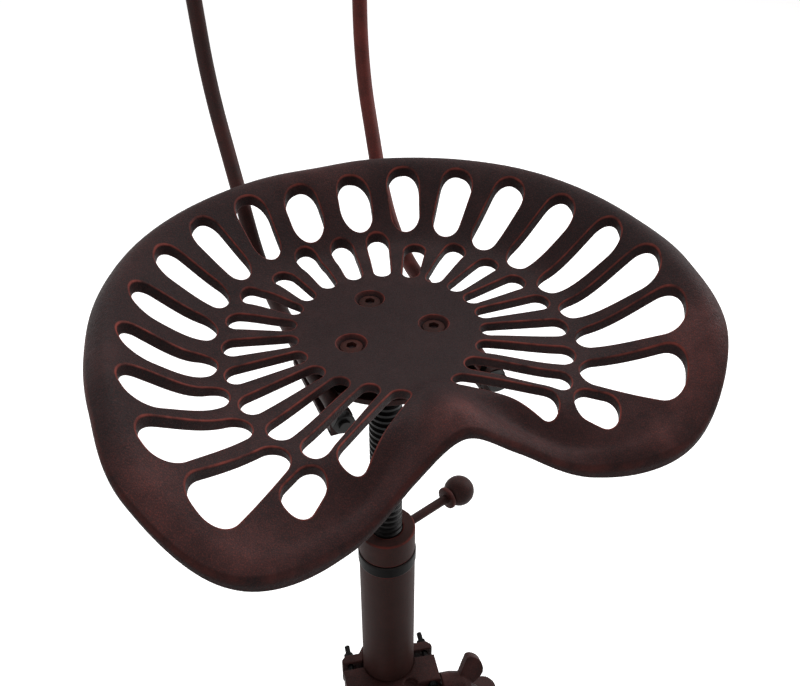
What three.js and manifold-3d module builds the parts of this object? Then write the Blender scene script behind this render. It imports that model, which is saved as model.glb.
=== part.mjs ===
// Tractor seat stool: a pierced cast seat on a screw spindle, with a low back on two rods,
// a locking collar, a clamped footrest and a four legged cast base.
// Millimetres, +Z up. The origin is on the floor under the middle of the column.
// The sitter faces -Y, so the notch of the seat is at -Y and the back rods stand at +Y.

import * as THREE from 'three';
import { mergeVertices } from 'three/addons/utils/BufferGeometryUtils.js';
import Module from 'manifold-3d';

const wasm = await Module();
wasm.setup();

// Driving dimensions

const hubHeight = 770;
const seatRise = 250;
const seatHalfWidth = 205;
const columnRadius = 24;
const baseReach = 225;
const backHeight = 310;
const footrestHeight = 356;
const footrestReach = 216.5;
const lowerTurnDegrees = -10;

// Clearances that every piece shares

const gap = 0.3;
const overrun = 5;

// Finishes

const finishes = {
  antiqueCopper: { color: 0x382725, roughness: 0.55, metalness: 0.6 },
  copperRods: { color: 0x42292a, roughness: 0.5, metalness: 0.6 },
  blackSteel: { color: 0x121212, roughness: 0.5, metalness: 0.6 },
  blackRubber: { color: 0x151515, roughness: 0.9, metalness: 0 },
  greyNylon: { color: 0x8a8a86, roughness: 0.6, metalness: 0 },
};

function finish(name) {
  return new THREE.MeshStandardMaterial(finishes[name]);
}

// Shape helpers

function solidOf(geometry) {
  const bare = geometry.clone();
  bare.deleteAttribute('normal');
  bare.deleteAttribute('uv');
  const merged = mergeVertices(bare);
  const vertProperties = new Float32Array(merged.attributes.position.array);
  const triVerts = new Uint32Array(merged.index.array);
  return new wasm.Manifold(new wasm.Mesh({ numProp: 3, vertProperties, triVerts }));
}

function geometryOf(solid) {
  const mesh = solid.getMesh();
  const geometry = new THREE.BufferGeometry();
  geometry.setAttribute('position', new THREE.BufferAttribute(new Float32Array(mesh.vertProperties), 3));
  geometry.setIndex(new THREE.BufferAttribute(new Uint32Array(mesh.triVerts), 1));
  const flat = geometry.toNonIndexed();
  flat.computeVertexNormals();
  return flat;
}

function cut(geometry, cutters) {
  let solid = solidOf(geometry);
  for (const cutter of cutters) {
    solid = solid.subtract(solidOf(cutter));
  }
  return geometryOf(solid);
}

function join(geometries) {
  let solid = solidOf(geometries[0]);
  for (const geometry of geometries.slice(1)) {
    solid = solid.add(solidOf(geometry));
  }
  return geometryOf(solid);
}

// A turned piece about Z. The profile is a list of [radius, height] pairs that closes on itself
// or ends on the axis.
function turned(profile, sides) {
  const points = profile.map(([radius, height]) => new THREE.Vector2(radius, height));
  return new THREE.LatheGeometry(points, sides).rotateX(Math.PI / 2);
}

function disc(radius, bottom, top, sides) {
  return turned([[0, bottom], [radius, bottom], [radius, top], [0, top]], sides);
}

function ring(inner, outer, bottom, top, sides) {
  return turned([[inner, bottom], [outer, bottom], [outer, top], [inner, top], [inner, bottom]], sides);
}

// A hexagon stands on its corners' radius, from the width across its flats.
function hexDisc(acrossFlats, bottom, top) {
  return disc(acrossFlats / Math.sqrt(3), bottom, top, 6);
}

function hexNut(acrossFlats, bore, bottom, top, boreSides = boltSides) {
  return cut(hexDisc(acrossFlats, bottom, top), [disc(bore, bottom - overrun, top + overrun, boreSides)]);
}

// A closed skin from rows of points between two poles. Columns run anticlockwise
// when they are seen from outside the first pole.
function latticeSkin(firstPole, rows, lastPole) {
  const columnCount = rows[0].length;
  const positions = [...firstPole.toArray()];
  for (const row of rows) {
    for (const point of row) {
      positions.push(...point.toArray());
    }
  }
  positions.push(...lastPole.toArray());
  const at = (row, column) => 1 + row * columnCount + (column % columnCount);
  const end = 1 + rows.length * columnCount;
  const index = [];
  for (let column = 0; column < columnCount; column += 1) {
    index.push(0, at(0, column), at(0, column + 1));
    for (let row = 0; row + 1 < rows.length; row += 1) {
      index.push(at(row, column), at(row + 1, column), at(row + 1, column + 1));
      index.push(at(row, column), at(row + 1, column + 1), at(row, column + 1));
    }
    index.push(end, at(rows.length - 1, column + 1), at(rows.length - 1, column));
  }
  const geometry = new THREE.BufferGeometry();
  geometry.setAttribute('position', new THREE.Float32BufferAttribute(positions, 3));
  geometry.setIndex(index);
  geometry.computeVertexNormals();
  return geometry;
}

// Shares of a curve's length, evenly spaced from one share to another.
function evenly(from, to, steps) {
  return Array.from({ length: steps + 1 }, (_, step) => from + ((to - from) * step) / steps);
}

// A bar along a curve, with a section at each of the shares of its length. sectionAt(t) gives the
// half width, which lies along its side vector, the half height, and the squareness: 0 is round.
function bar(curve, shares, sides, sectionAt) {
  const rows = [];
  for (const t of shares) {
    const centre = curve.getPointAt(t);
    const tangent = curve.getTangentAt(t);
    const section = sectionAt(t);
    const side = section.side.clone();
    side.addScaledVector(tangent, -side.dot(tangent)).normalize();
    const rise = new THREE.Vector3().crossVectors(side, tangent);
    const power = 1 / (1 + (section.squareness ?? 0));
    const row = [];
    for (let corner = 0; corner < sides; corner += 1) {
      const angle = (2 * Math.PI * (corner + 0.5)) / sides;
      const across = Math.sign(Math.cos(angle)) * Math.abs(Math.cos(angle)) ** power;
      const up = Math.sign(Math.sin(angle)) * Math.abs(Math.sin(angle)) ** power;
      const point = centre.clone();
      point.addScaledVector(side, across * section.halfWidth);
      point.addScaledVector(rise, up * section.halfHeight);
      row.push(point);
    }
    rows.push(row);
  }
  return latticeSkin(curve.getPointAt(0), rows, curve.getPointAt(1));
}

function smooth(from, to, value) {
  const share = THREE.MathUtils.clamp((value - from) / (to - from), 0, 1);
  return share * share * (3 - 2 * share);
}

function addPiece(parent, name, geometry, material) {
  const mesh = new THREE.Mesh(geometry, material);
  mesh.name = name;
  parent.add(mesh);
  return mesh;
}

const roundSides = 28;
const boltSides = 10;

// The whole stool. What turns with the seat hangs on one group at the hub's top,
// and what is clamped to the column hangs on a group that is turned a little.

const stool = new THREE.Group();
const upper = new THREE.Group();
upper.position.z = hubHeight;
const lower = new THREE.Group();
lower.rotation.z = THREE.MathUtils.degToRad(lowerTurnDegrees);
stool.add(upper, lower);

// Seat casting. Its plan is an outline around a pattern centre a little in front of the spindle.
// Five values run round it from the back to the notch: how far the outline reaches, how high the
// wall stands, where the wall starts, how high the seat is there, and how far the rim rolls down.

const seat = {
  patternOffset: 8,
  hubRadius: 64,
  wall: 7.5,
  padThickness: 14,
  padRadius: 44,
  padFillet: 5,
  rollWidth: 16,
  screwSpread: 30.6,
  screwBack: 28.8,
  screwFront: 16.8,
  recessRadius: 11,
  recessDepth: 2.6,
};

const outlineShares = [0.78, 0.805, 0.825, 0.86, 0.895, 0.928, 0.963, 1.028, 1.108, 1.056, 0.855, 0.66, 0.612];
const wallShares = [0.262, 0.26, 0.26, 0.258, 0.257, 0.252, 0.243, 0.212, 0.105, -0.1, -0.15, -0.03, 0.066];
const wallStartShares = [0.44, 0.46, 0.485, 0.505, 0.55, 0.59, 0.635, 0.655, 0.65, 0.62, 0.59, 0.47, 0.38];
const dishShares = [0.024, 0.024, 0.03, 0.03, 0.024, 0.015, 0.002, -0.007, -0.02, -0.024, -0.005, 0.015, 0.02];
const rollShares = [0.046, 0.049, 0.054, 0.063, 0.066, 0.06, 0.046, 0.034, 0.03, 0.038, 0.04, 0.04, 0.039];

const keyCount = outlineShares.length;
const keyAngles = outlineShares.map((share, key) => (Math.PI * key) / (keyCount - 1));
const keySamples = keyAngles.flatMap((angle, key) => [
  outlineShares[key], wallShares[key], wallStartShares[key], dishShares[key], rollShares[key],
]);
const seatKeys = new THREE.CubicInterpolant(keyAngles, keySamples, keySamples.length / keyCount);
seatKeys.settings = { endingStart: THREE.ZeroSlopeEnding, endingEnd: THREE.ZeroSlopeEnding };

// The angle runs from the back of the seat, 0, to the notch, pi, and is alike on both sides.
function seatSection(angle) {
  const [outline, wallTop, wallStart, dish, roll] = seatKeys.evaluate(angle);
  return {
    reach: outline * seatHalfWidth,
    wallTop: wallTop * seatHalfWidth,
    wallStart: wallStart * seatHalfWidth,
    dish: dish * seatHalfWidth,
    roll: roll * seatHalfWidth,
  };
}

function seatHeight(x, y) {
  const forward = y + seat.patternOffset;
  const radius = Math.hypot(x, forward);
  const { reach, wallTop, wallStart, dish, roll } = seatSection(Math.atan2(Math.abs(x), forward));
  const crest = reach - seat.rollWidth;
  const past = Math.max(0, (radius - crest) / seat.rollWidth);
  const inner = dish * smooth(seat.hubRadius, wallStart, radius);
  return inner + (wallTop - dish) * smooth(wallStart, crest, radius) - roll * past * past;
}

function seatTopPoint(bearing, radius) {
  const x = radius * Math.cos(bearing);
  const y = radius * Math.sin(bearing) - seat.patternOffset;
  return new THREE.Vector3(x, y, seatHeight(x, y));
}

function seatNormal(x, y) {
  const reach = seat.rollWidth / 8;
  const slopeX = seatHeight(x + reach, y) - seatHeight(x - reach, y);
  const slopeY = seatHeight(x, y + reach) - seatHeight(x, y - reach);
  return new THREE.Vector3(-slopeX, -slopeY, 2 * reach).normalize();
}

// Radii of the rings, as shares of the way from the hub's edge to the rim.
const ringShares = [0.25, 0.42, 0.56, 0.68, 0.79, 0.9, 1];
const seatColumns = 60;

function seatRings() {
  const tops = [[], []];
  for (let column = 0; column < seatColumns; column += 1) {
    const bearing = (2 * Math.PI * column) / seatColumns;
    const fromBack = Math.acos(THREE.MathUtils.clamp(Math.sin(bearing), -1, 1));
    const { reach } = seatSection(fromBack);
    tops[0].push(seatTopPoint(bearing, seat.padRadius + seat.padFillet - seat.patternOffset));
    tops[1].push(seatTopPoint(bearing, seat.hubRadius - seat.padFillet));
    ringShares.forEach((share, ringNumber) => {
      const radius = seat.hubRadius + share * (reach - seat.hubRadius);
      tops[ringNumber + 2] = tops[ringNumber + 2] ?? [];
      tops[ringNumber + 2].push(seatTopPoint(bearing, radius));
    });
  }
  const bottoms = tops.map((row) => row.map((point) => {
    return point.clone().addScaledVector(seatNormal(point.x, point.y), -seat.wall);
  }));
  const rim = tops.at(-1).map((point, column) => {
    const middle = point.clone().lerp(bottoms.at(-1)[column], 0.5);
    const outward = new THREE.Vector3(middle.x, middle.y + seat.patternOffset, 0).normalize();
    return middle.addScaledVector(outward, seat.wall / 3);
  });
  return [...tops, rim, ...bottoms.reverse()];
}

// How far a Bezier's handles reach towards the corner to draw a round one.
const roundingShare = 0.55;

// A tapered slot with round ends, from one point of the plan to another.
function slotCutter(from, to, fromHalf, toHalf, cornerShare) {
  const length = from.distanceTo(to);
  const corners = [
    { at: new THREE.Vector2(0, -fromHalf), radius: fromHalf },
    { at: new THREE.Vector2(length, -toHalf), radius: toHalf * cornerShare },
    { at: new THREE.Vector2(length, toHalf), radius: toHalf * cornerShare },
    { at: new THREE.Vector2(0, fromHalf), radius: fromHalf },
  ];
  const shape = new THREE.Shape();
  corners.forEach(({ at, radius }, number) => {
    const before = corners[(number + 3) % 4].at;
    const after = corners[(number + 1) % 4].at;
    const start = before.clone().sub(at).setLength(radius).add(at);
    const end = after.clone().sub(at).setLength(radius).add(at);
    const startPull = start.clone().lerp(at, roundingShare);
    const endPull = end.clone().lerp(at, roundingShare);
    if (number === 0) {
      shape.moveTo(start.x, start.y);
    } else {
      shape.lineTo(start.x, start.y);
    }
    shape.bezierCurveTo(startPull.x, startPull.y, endPull.x, endPull.y, end.x, end.y);
  });
  shape.closePath();
  const depth = 2 * seatHalfWidth;
  const prism = new THREE.ExtrudeGeometry(shape, { depth, bevelEnabled: false, curveSegments: 3 });
  prism.translate(0, 0, -seatHalfWidth);
  prism.rotateZ(Math.atan2(to.y - from.y, to.x - from.x));
  prism.translate(from.x, from.y, 0);
  return prism;
}

function planPoint(degreesFromBack, share) {
  const angle = THREE.MathUtils.degToRad(degreesFromBack);
  const radius = share * seatHalfWidth;
  return new THREE.Vector2(radius * Math.sin(angle), radius * Math.cos(angle) - seat.patternOffset);
}

// Slots on the right hand side, each as its inner end, its outer end and its two half widths:
// [degrees from the back, reach share, degrees from the back, reach share, half share, half share].
const innerSlotShares = [
  [0, 0.316, 0, 0.502, 0.029, 0.048],
  [18.2, 0.315, 16.8, 0.52, 0.03, 0.044],
  [36, 0.315, 34, 0.488, 0.029, 0.042],
  [50.8, 0.314, 51.5, 0.535, 0.029, 0.043],
  [67, 0.314, 67.5, 0.547, 0.029, 0.041],
  [82.5, 0.312, 82.3, 0.56, 0.03, 0.041],
  [99, 0.312, 96.5, 0.583, 0.031, 0.043],
  [116, 0.312, 111, 0.61, 0.031, 0.045],
  [133, 0.312, 124.8, 0.63, 0.031, 0.047],
  [150.8, 0.318, 137, 0.645, 0.031, 0.048],
  [166.8, 0.352, 147, 0.662, 0.032, 0.05],
];
const outerSlotShares = [
  [9.8, 0.52, 9.5, 0.675, 0.06, 0.064],
  [29.5, 0.535, 25.8, 0.712, 0.048, 0.067],
  [43.6, 0.545, 43.8, 0.748, 0.047, 0.065],
  [58, 0.56, 60.2, 0.785, 0.046, 0.066],
  [72.5, 0.575, 76.5, 0.82, 0.046, 0.069],
  [88, 0.59, 91.8, 0.866, 0.046, 0.07],
  [102.3, 0.606, 104.5, 0.924, 0.045, 0.078],
  [116.8, 0.633, 115.6, 0.974, 0.047, 0.084],
  [130.8, 0.655, 126.8, 0.985, 0.047, 0.084],
  [142.5, 0.695, 137.5, 0.83, 0.038, 0.055],
];
const innerCornerShare = 0.95;
const outerCornerShare = 0.8;

function seatSlots() {
  const cutters = [];
  const addSlot = ([fromAngle, fromShare, toAngle, toShare, fromHalf, toHalf], side, corner) => {
    const from = planPoint(side * fromAngle, fromShare);
    const to = planPoint(side * toAngle, toShare);
    cutters.push(slotCutter(from, to, fromHalf * seatHalfWidth, toHalf * seatHalfWidth, corner));
  };
  for (const row of innerSlotShares) {
    addSlot(row, 1, innerCornerShare);
    if (row[0] > 0) {
      addSlot(row, -1, innerCornerShare);
    }
  }
  for (const row of outerSlotShares) {
    addSlot(row, 1, outerCornerShare);
    addSlot(row, -1, outerCornerShare);
  }
  return cutters;
}

// Seat screws: button heads in dished recesses, through the hub and the plate under it.

const seatScrew = {
  headRadius: 8,
  headHeight: 4.4,
  shankRadius: 4,
  socketFlats: 5,
  socketDepth: 2.6,
  nutFlats: 13,
  nutHeight: 5,
};

const screwPlaces = {
  back: [0, seat.screwBack, 0],
  left: [-seat.screwSpread, -seat.screwFront, 0],
  right: [seat.screwSpread, -seat.screwFront, 0],
};

const padBottom = -seat.padThickness;

function seatCasting() {
  const rows = seatRings();
  const hubTop = new THREE.Vector3(0, -seat.patternOffset, 0);
  const hubBottom = new THREE.Vector3(0, -seat.patternOffset, -seat.wall);
  const pad = turned([
    [0, padBottom],
    [seat.padRadius - seat.padFillet, padBottom],
    [seat.padRadius, padBottom + seat.padFillet],
    [seat.padRadius, -seat.wall / 2],
    [0, -seat.wall / 2],
  ], roundSides);
  const cutters = seatSlots();
  for (const place of Object.values(screwPlaces)) {
    const recess = disc(seat.recessRadius, -seat.recessDepth, overrun, boltSides * 2);
    const hole = disc(seatScrew.shankRadius + gap, padBottom - overrun, overrun, boltSides);
    cutters.push(recess.translate(...place), hole.translate(...place));
  }
  return cut(join([latticeSkin(hubTop, rows, hubBottom), pad]), cutters);
}

addPiece(upper, 'seat_casting', seatCasting(), finish('antiqueCopper'));

// Mounting plate under the seat's pad, which the spindle's head is fixed in.

const mountPlate = {
  radius: 47,
  thickness: 8,
};
const plateTop = padBottom - gap;
const plateBottom = plateTop - mountPlate.thickness;

// Spindle: a spigot in the plate, a shoulder, a plain neck, and the thread.

const spindle = {
  spigotRadius: 12,
  shoulderRadius: 20,
  shoulderHeight: 6,
  neckRadius: 16,
  neckLength: 41,
  majorRadius: 13,
  minorRadius: 10.8,
  pitch: 6,
  threadTurns: 43,
  footRadius: 9,
  footLength: 36,
};
const shoulderTop = plateBottom - gap;
const shoulderBottom = shoulderTop - spindle.shoulderHeight;
const threadTop = shoulderBottom - spindle.neckLength;
const threadBottom = threadTop - spindle.threadTurns * spindle.pitch;
const coreBottom = threadBottom - spindle.pitch;
const spindleFoot = coreBottom - spindle.footLength;

function plateHoles() {
  const holes = [disc(spindle.spigotRadius + gap, plateBottom - overrun, plateTop + overrun, roundSides)];
  for (const place of Object.values(screwPlaces)) {
    const hole = disc(seatScrew.shankRadius + gap, plateBottom - overrun, plateTop + overrun, boltSides);
    holes.push(hole.translate(...place));
  }
  return holes;
}

addPiece(
  upper,
  'mount_plate',
  cut(disc(mountPlate.radius, plateBottom, plateTop, roundSides), plateHoles()),
  finish('antiqueCopper'),
);

const screwProfile = [
  [0, plateBottom - gap - seatScrew.nutHeight],
  [seatScrew.shankRadius, plateBottom - gap - seatScrew.nutHeight],
  [seatScrew.shankRadius, gap - seat.recessDepth],
  [seatScrew.headRadius, gap - seat.recessDepth],
  [seatScrew.headRadius, gap - seat.recessDepth + seatScrew.headHeight / 3],
  [seatScrew.headRadius * 0.8, gap - seat.recessDepth + seatScrew.headHeight * 0.8],
  [seatScrew.headRadius / 2, gap - seat.recessDepth + seatScrew.headHeight],
  [0, gap - seat.recessDepth + seatScrew.headHeight],
];
const socketTop = gap - seat.recessDepth + seatScrew.headHeight;

for (const [name, place] of Object.entries(screwPlaces)) {
  const socket = hexDisc(seatScrew.socketFlats, socketTop - seatScrew.socketDepth, socketTop + overrun);
  const screw = addPiece(
    upper,
    `seat_screw_${name}`,
    cut(turned(screwProfile, boltSides), [socket]),
    finish('antiqueCopper'),
  );
  const nutTop = plateBottom - gap;
  const nut = addPiece(
    upper,
    `seat_nut_${name}`,
    hexNut(seatScrew.nutFlats, seatScrew.shankRadius + gap, nutTop - seatScrew.nutHeight, nutTop),
    finish('blackSteel'),
  );
  screw.position.set(...place);
  nut.position.set(...place);
}

// The thread is a ridge wound round a core. Core and ridge share their corners' angles.
const threadSides = 6;
const ridgeBuried = 1;
const ridgeRootShare = 0.46;

function threadRidge() {
  const rows = [];
  const root = spindle.minorRadius - ridgeBuried;
  const half = spindle.pitch * ridgeRootShare;
  const point = (radius, angle, height) => {
    return new THREE.Vector3(radius * Math.cos(angle), radius * Math.sin(angle), height);
  };
  for (let step = 0; step <= spindle.threadTurns * threadSides; step += 1) {
    const angle = (2 * Math.PI * step) / threadSides;
    const height = threadBottom + (spindle.pitch * step) / threadSides;
    rows.push([
      point(spindle.majorRadius, angle, height),
      point(root, angle, height + half),
      point(root, angle, height - half),
    ]);
  }
  const middle = spindle.minorRadius;
  const first = point(middle, 0, threadBottom);
  const last = point(middle, 0, threadBottom + spindle.threadTurns * spindle.pitch);
  return latticeSkin(first, rows, last);
}

function spindlePiece() {
  const body = turned([
    [0, spindleFoot],
    [spindle.footRadius, spindleFoot],
    [spindle.footRadius, coreBottom],
    [spindle.minorRadius, coreBottom],
    [spindle.minorRadius, threadTop],
    [spindle.neckRadius, threadTop + spindle.pitch],
    [spindle.neckRadius, shoulderBottom],
    [spindle.shoulderRadius, shoulderBottom],
    [spindle.shoulderRadius, shoulderTop],
    [spindle.spigotRadius, shoulderTop],
    [spindle.spigotRadius, plateTop - gap],
    [0, plateTop - gap],
  ], threadSides * 2);
  return join([body, threadRidge()]);
}

addPiece(upper, 'screw_spindle', spindlePiece(), finish('blackSteel'));

// Guide bush on the spindle's foot. It slides in the column and is kept on by a nut.

const columnWall = 3;
const columnInner = columnRadius - columnWall;

const glideBush = {
  height: 24,
  nutFlats: 24,
  nutHeight: 8,
};
const bushTop = coreBottom - gap;
const bushBottom = bushTop - glideBush.height;

addPiece(
  upper,
  'glide_bush',
  ring(spindle.footRadius + gap, columnInner - gap, bushBottom, bushTop, roundSides),
  finish('greyNylon'),
);
const bushNutTop = bushBottom - gap;
const bushNutBottom = bushNutTop - glideBush.nutHeight;
const footBore = spindle.footRadius + gap;
addPiece(
  upper,
  'glide_bush_nut',
  hexNut(glideBush.nutFlats, footBore, bushNutBottom, bushNutTop, threadSides * 2),
  finish('blackSteel'),
);

// Back rods: two round bars that run under the seat to flattened ends, pass behind the rim
// and stand up to flattened tops. The right one is drawn and the left one is its mirror.

const rod = {
  radius: 6,
  flatThickness: 5,
  flatHalfWidth: 11,
  flatLength: 24,
  boltRadius: 5,
};

const bracket = {
  thickness: 6,
  discRadius: 44,
  earRadius: 14,
  earX: 57,
  earY: 68,
};
const bracketTop = shoulderBottom - gap;
const bracketBottom = bracketTop - bracket.thickness;
const flatBottom = bracketTop + gap;
const flatTop = flatBottom + rod.flatThickness;
const flatMiddle = (flatBottom + flatTop) / 2;
const rodEndY = -bracket.earY - rod.flatHalfWidth;

// Places along the rod, seen from the seat's hub: [out, back, up], as shares of the back's height.
const rodPlaceShares = [
  [0.184, -0.05, -0.0725],
  [0.184, 0.1, -0.07],
  [0.185, 0.3, -0.06],
  [0.186, 0.42, -0.01],
  [0.189, 0.51, 0.085],
  [0.195, 0.582, 0.19],
  [0.201, 0.642, 0.29],
  [0.206, 0.676, 0.39],
  [0.21, 0.691, 0.5],
  [0.215, 0.698, 0.64],
  [0.217, 0.7, 0.8],
  [0.217, 0.7, 1],
];
const rodPlaces = [
  [bracket.earX, rodEndY, flatMiddle],
  [bracket.earX, rodEndY + rod.flatLength, flatMiddle],
  [bracket.earX, rodEndY + rod.flatLength + rod.flatHalfWidth, flatBottom + rod.radius],
  ...rodPlaceShares.map((place) => place.map((share) => share * backHeight)),
];

const backPlate = {
  bendRadius: 330,
  thickness: 4,
  halfWidth: 150,
  height: 96,
  crown: 16,
  screwSpacing: 34,
  screwRadius: 3,
  slotRadius: 9,
};
const rodTopX = rodPlaces.at(-1)[0];
const rodTopY = rodPlaces.at(-1)[1];
const backLean = Math.asin(rodTopX / backPlate.bendRadius);

function rodHoles(side) {
  const holes = [];
  const eyeTop = flatTop + overrun;
  const eye = disc(rod.boltRadius + gap, flatBottom - overrun, eyeTop, boltSides);
  holes.push(eye.translate(side * bracket.earX, -bracket.earY, 0));
  for (const height of backScrewHeights) {
    const hole = disc(backPlate.screwRadius + gap, -rod.flatHalfWidth, rod.flatHalfWidth, boltSides);
    hole.rotateX(Math.PI / 2).rotateZ(-side * backLean);
    holes.push(hole.translate(side * rodTopX, rodTopY, height));
  }
  return holes;
}

const backScrewTop = backHeight - rod.flatHalfWidth;
const backScrewHeights = [backScrewTop - backPlate.screwSpacing, backScrewTop];
const backMiddle = backScrewTop - backPlate.screwSpacing / 2;

const rodSteps = 30;
const rodSides = 8;
const flatSquareness = 2;

function backRod(side) {
  const points = rodPlaces.map(([out, back, up]) => new THREE.Vector3(side * out, back, up));
  const curve = new THREE.CatmullRomCurve3(points, false, 'centripetal');
  const length = curve.getLength();
  const flatShare = rod.flatLength / length;
  const topLength = backHeight - backMiddle + backPlate.height / 2 + rod.flatHalfWidth;
  const topShare = topLength / length;
  const taperShare = rod.flatHalfWidth / length;
  const sectionAt = (t) => {
    const start = smooth(flatShare, flatShare + taperShare, t);
    const end = 1 - smooth(1 - topShare - taperShare, 1 - topShare, t);
    const roundness = start * end;
    const lean = -side * backLean * smooth(1 - 2 * topShare, 1 - topShare, t);
    return {
      side: new THREE.Vector3(Math.cos(lean), Math.sin(lean), 0),
      halfWidth: THREE.MathUtils.lerp(rod.flatHalfWidth, rod.radius, roundness),
      halfHeight: THREE.MathUtils.lerp(rod.flatThickness / 2, rod.radius, roundness),
      squareness: flatSquareness * (1 - roundness),
    };
  };
  const shares = [
    0,
    ...evenly(flatShare, flatShare + taperShare, 2),
    ...evenly(flatShare + 2 * taperShare, 1 - topShare - 2 * taperShare, rodSteps),
    ...evenly(1 - topShare - taperShare, 1 - topShare, 2),
    1,
  ];
  return cut(bar(curve, shares, rodSides, sectionAt), rodHoles(side));
}

const sides = { left: -1, right: 1 };

const rodBolt = {
  flats: 16,
  headHeight: 6.4,
  nutHeight: 7,
  endProud: 1.5,
};

for (const [name, side] of Object.entries(sides)) {
  addPiece(upper, `back_rod_${name}`, backRod(side), finish('copperRods'));
  const headTop = bracketBottom - gap;
  const nutBottom = flatTop + gap;
  const nutTop = nutBottom + rodBolt.nutHeight;
  const bolt = join([
    hexDisc(rodBolt.flats, headTop - rodBolt.headHeight, headTop),
    disc(rod.boltRadius, headTop - rodBolt.headHeight / 2, nutTop + rodBolt.endProud, boltSides),
  ]);
  const nut = hexNut(rodBolt.flats, rod.boltRadius + gap, nutBottom, nutTop);
  const boltMesh = addPiece(upper, `rod_bolt_${name}`, bolt, finish('blackSteel'));
  const nutMesh = addPiece(upper, `rod_nut_${name}`, nut, finish('blackSteel'));
  boltMesh.position.set(side * bracket.earX, -bracket.earY, 0);
  nutMesh.position.set(side * bracket.earX, -bracket.earY, 0);
}

// Bracket under the spindle's shoulder: a disc with two arms that carry the rods' flat ends.

function bracketPiece() {
  const shape = new THREE.Shape();
  const earAngle = Math.atan2(-bracket.earY, bracket.earX);
  const earReach = Math.hypot(bracket.earX, bracket.earY);
  const waist = bracket.earRadius / bracket.discRadius;
  const swing = Math.asin(waist);
  const mirror = (angle) => Math.PI - angle;
  const earArc = (angle) => {
    const x = earReach * Math.cos(angle);
    const y = earReach * Math.sin(angle);
    shape.absarc(x, y, bracket.earRadius, angle - Math.PI / 2, angle + Math.PI / 2, false);
  };
  earArc(earAngle);
  shape.absarc(0, 0, bracket.discRadius, earAngle + swing, mirror(earAngle) - swing, false);
  earArc(mirror(earAngle));
  const leftEnd = mirror(earAngle) + swing;
  shape.absarc(0, 0, bracket.discRadius, leftEnd, 2 * Math.PI + earAngle - swing, false);
  const settings = { depth: bracket.thickness, bevelEnabled: false, curveSegments: 8 };
  const plate = new THREE.ExtrudeGeometry(shape, settings).translate(0, 0, bracketBottom);
  const low = bracketBottom - overrun;
  const high = bracketTop + overrun;
  const holes = [disc(spindle.neckRadius + gap, low, high, threadSides * 2)];
  for (const side of Object.values(sides)) {
    const hole = disc(rod.boltRadius + gap, low, high, boltSides);
    holes.push(hole.translate(side * bracket.earX, -bracket.earY, 0));
  }
  return cut(plate, holes);
}

addPiece(upper, 'back_bracket', bracketPiece(), finish('antiqueCopper'));

const ringNut = {
  radius: 24,
  height: 10,
};
const ringNutTop = bracketBottom - gap;

addPiece(
  upper,
  'bracket_ring_nut',
  ring(spindle.neckRadius + gap, ringNut.radius, ringNutTop - ringNut.height, ringNutTop, threadSides * 2),
  finish('blackSteel'),
);

// Back rest: a plate bent round the sitter's back, with an arched top and a row of slots.

const plateFront = backPlate.bendRadius - backPlate.thickness;
const rodFront = rodTopY - rod.flatThickness / 2 / Math.cos(backLean) - gap;
const bendCentreY = rodFront - backPlate.bendRadius * Math.cos(backLean);
const backSlotCount = 9;
const bendSides = 96;

function backOutline() {
  const half = backPlate.height / 2;
  const endRadius = half * 0.7;
  const straight = backPlate.halfWidth - endRadius;
  const shape = new THREE.Shape();
  shape.moveTo(-straight, -half);
  shape.quadraticCurveTo(0, -half - backPlate.crown / 2, straight, -half);
  shape.quadraticCurveTo(backPlate.halfWidth, -half, backPlate.halfWidth, -half + endRadius);
  shape.quadraticCurveTo(backPlate.halfWidth, half, straight, half);
  shape.quadraticCurveTo(0, half + 2 * backPlate.crown, -straight, half);
  shape.quadraticCurveTo(-backPlate.halfWidth, half, -backPlate.halfWidth, -half + endRadius);
  shape.quadraticCurveTo(-backPlate.halfWidth, -half, -straight, -half);
  return shape;
}

// An outline in the XZ plane, pushed along Y through the bent plate.
function throughBack(shape, segments) {
  const depth = backPlate.bendRadius;
  const prism = new THREE.ExtrudeGeometry(shape, { depth, bevelEnabled: false, curveSegments: segments });
  return prism.rotateX(Math.PI / 2).translate(0, bendCentreY + depth + overrun, backMiddle);
}

function backSlot(x) {
  const lean = x / backPlate.halfWidth;
  const tall = backPlate.height / 2 - 2 * backPlate.slotRadius;
  const shape = new THREE.Shape();
  const radius = backPlate.slotRadius * (1 - lean * lean / 3);
  const reach = tall * (1 - lean * lean / 2);
  shape.absarc(x, reach, radius, 0, Math.PI, false);
  shape.absarc(x, -reach, radius * 0.7, Math.PI, 2 * Math.PI, false);
  return throughBack(shape, 5);
}

function backScrewGroup(side) {
  const group = new THREE.Group();
  group.position.set(side * rodTopX, rodTopY, 0);
  group.rotation.z = -side * backLean;
  return group;
}

const backScrew = {
  headRadius: 6.5,
  headHeight: 3.6,
  nutFlats: 10,
  nutHeight: 5,
};

function backPiece() {
  const bottom = backMiddle - backPlate.height;
  const top = backMiddle + backPlate.height;
  const bend = ring(plateFront, backPlate.bendRadius, bottom, top, bendSides).translate(0, bendCentreY, 0);
  const plate = solidOf(bend).intersect(solidOf(throughBack(backOutline(), 8)));
  const cutters = [];
  for (let number = 0; number < backSlotCount; number += 1) {
    const place = (number - (backSlotCount - 1) / 2) * (2 * backPlate.halfWidth) / (backSlotCount + 1);
    cutters.push(backSlot(place));
  }
  for (const side of Object.values(sides)) {
    for (const height of backScrewHeights) {
      const hole = disc(backPlate.screwRadius + gap, -rod.flatHalfWidth, rod.flatHalfWidth, boltSides);
      hole.rotateX(Math.PI / 2).rotateZ(-side * backLean);
      cutters.push(hole.translate(side * rodTopX, rodTopY, height));
    }
  }
  return cut(geometryOf(plate), cutters);
}

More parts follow.
